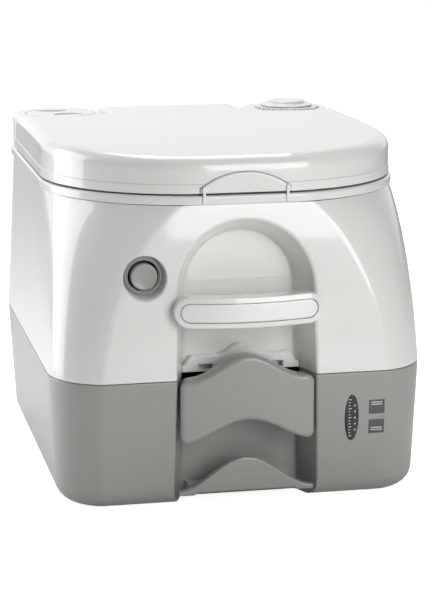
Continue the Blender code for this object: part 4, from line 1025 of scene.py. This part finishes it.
def make_world():
    """White room that is dimmer on the camera's side, and plain white where the camera sees it."""
    world = bpy.data.worlds.new("studio")
    world.use_nodes = True
    nodes, links = world.node_tree.nodes, world.node_tree.links
    coordinates = nodes.new("ShaderNodeTexCoord")
    split = nodes.new("ShaderNodeSeparateXYZ")
    links.new(coordinates.outputs["Generated"], split.inputs["Vector"])
    room = nodes.new("ShaderNodeMapRange")
    room.inputs["From Min"].default_value = 0.40
    room.inputs["From Max"].default_value = 0.72
    room.inputs["To Min"].default_value = ROOM_FRONT
    room.inputs["To Max"].default_value = ROOM_REAR
    links.new(split.outputs["Y"], room.inputs["Value"])
    path = nodes.new("ShaderNodeLightPath")
    seen = nodes.new("ShaderNodeMath")
    seen.operation = "MAXIMUM"
    links.new(room.outputs["Result"], seen.inputs[0])
    links.new(path.outputs["Is Camera Ray"], seen.inputs[1])
    links.new(seen.outputs["Value"], nodes["Background"].inputs["Strength"])
    nodes["Background"].inputs["Color"].default_value = (1.0, 1.0, 1.0, 1.0)
    bpy.context.scene.world = world


def direction(azimuth, elevation):
    """Unit vector from the object towards an azimuth and an elevation in degrees."""
    turn, lift = math.radians(azimuth), math.radians(elevation)
    return Vector((math.sin(turn) * math.cos(lift), -math.cos(turn) * math.cos(lift), math.sin(lift)))


def softbox(name, azimuth, elevation, distance, size_m, power):
    """Rectangular light that faces the object; azimuth 0 is straight in front, 90 on the right."""
    light = bpy.data.lights.new(name, "AREA")
    light.shape = "RECTANGLE"
    light.size, light.size_y = size_m
    light.energy = power
    lamp = bpy.data.objects.new(name, light)
    middle = Vector((0.0, 0.0, 0.15))
    away = direction(azimuth, elevation)
    lamp.location = middle + away * distance
    lamp.rotation_euler = (-away).to_track_quat("-Z", "Y").to_euler()
    lamp.visible_camera = False
    bpy.context.scene.collection.objects.link(lamp)


def make_lights():
    """Bright wall on the left, softer key from the front right, and a broad glow from overhead."""
    softbox("left_wall", -107, 14, 0.9, (0.60, 0.95), 6.6)
    softbox("key_right", 20, 18, 1.4, (0.7, 0.9), 9.8)
    softbox("top", 180, 76, 1.6, (1.0, 1.0), 15.0)


def make_camera():
    """Low three-quarter view from the front left, with a long lens."""
    azimuth, elevation, distance = -12.03, 12.14, 2.005
    target = Vector((0.01379, 0.0, 0.1421))
    away = direction(azimuth, elevation)
    lens = bpy.data.cameras.new("camera")
    lens.lens = 125.1
    lens.sensor_width = 36.0
    camera = bpy.data.objects.new("camera", lens)
    camera.location = target + away * distance
    camera.rotation_euler = (-away).to_track_quat("-Z", "Y").to_euler()
    bpy.context.scene.collection.objects.link(camera)
    bpy.context.scene.camera = camera


LOOKS = make_looks()
dress_cad_nodes()
make_waste_tank()
make_shell()
make_deck()
make_seat()
make_lid()
make_lid_latch()
make_valve_grip()
make_front_lip()
make_handle()
make_valve_bezel()
make_flush_button()
make_level_gauge()
make_tiles()
make_fill_cap()
make_pump_top()
make_floor()
make_world()
make_lights()
make_camera()
bpy.context.scene.view_settings.view_transform = "Standard"
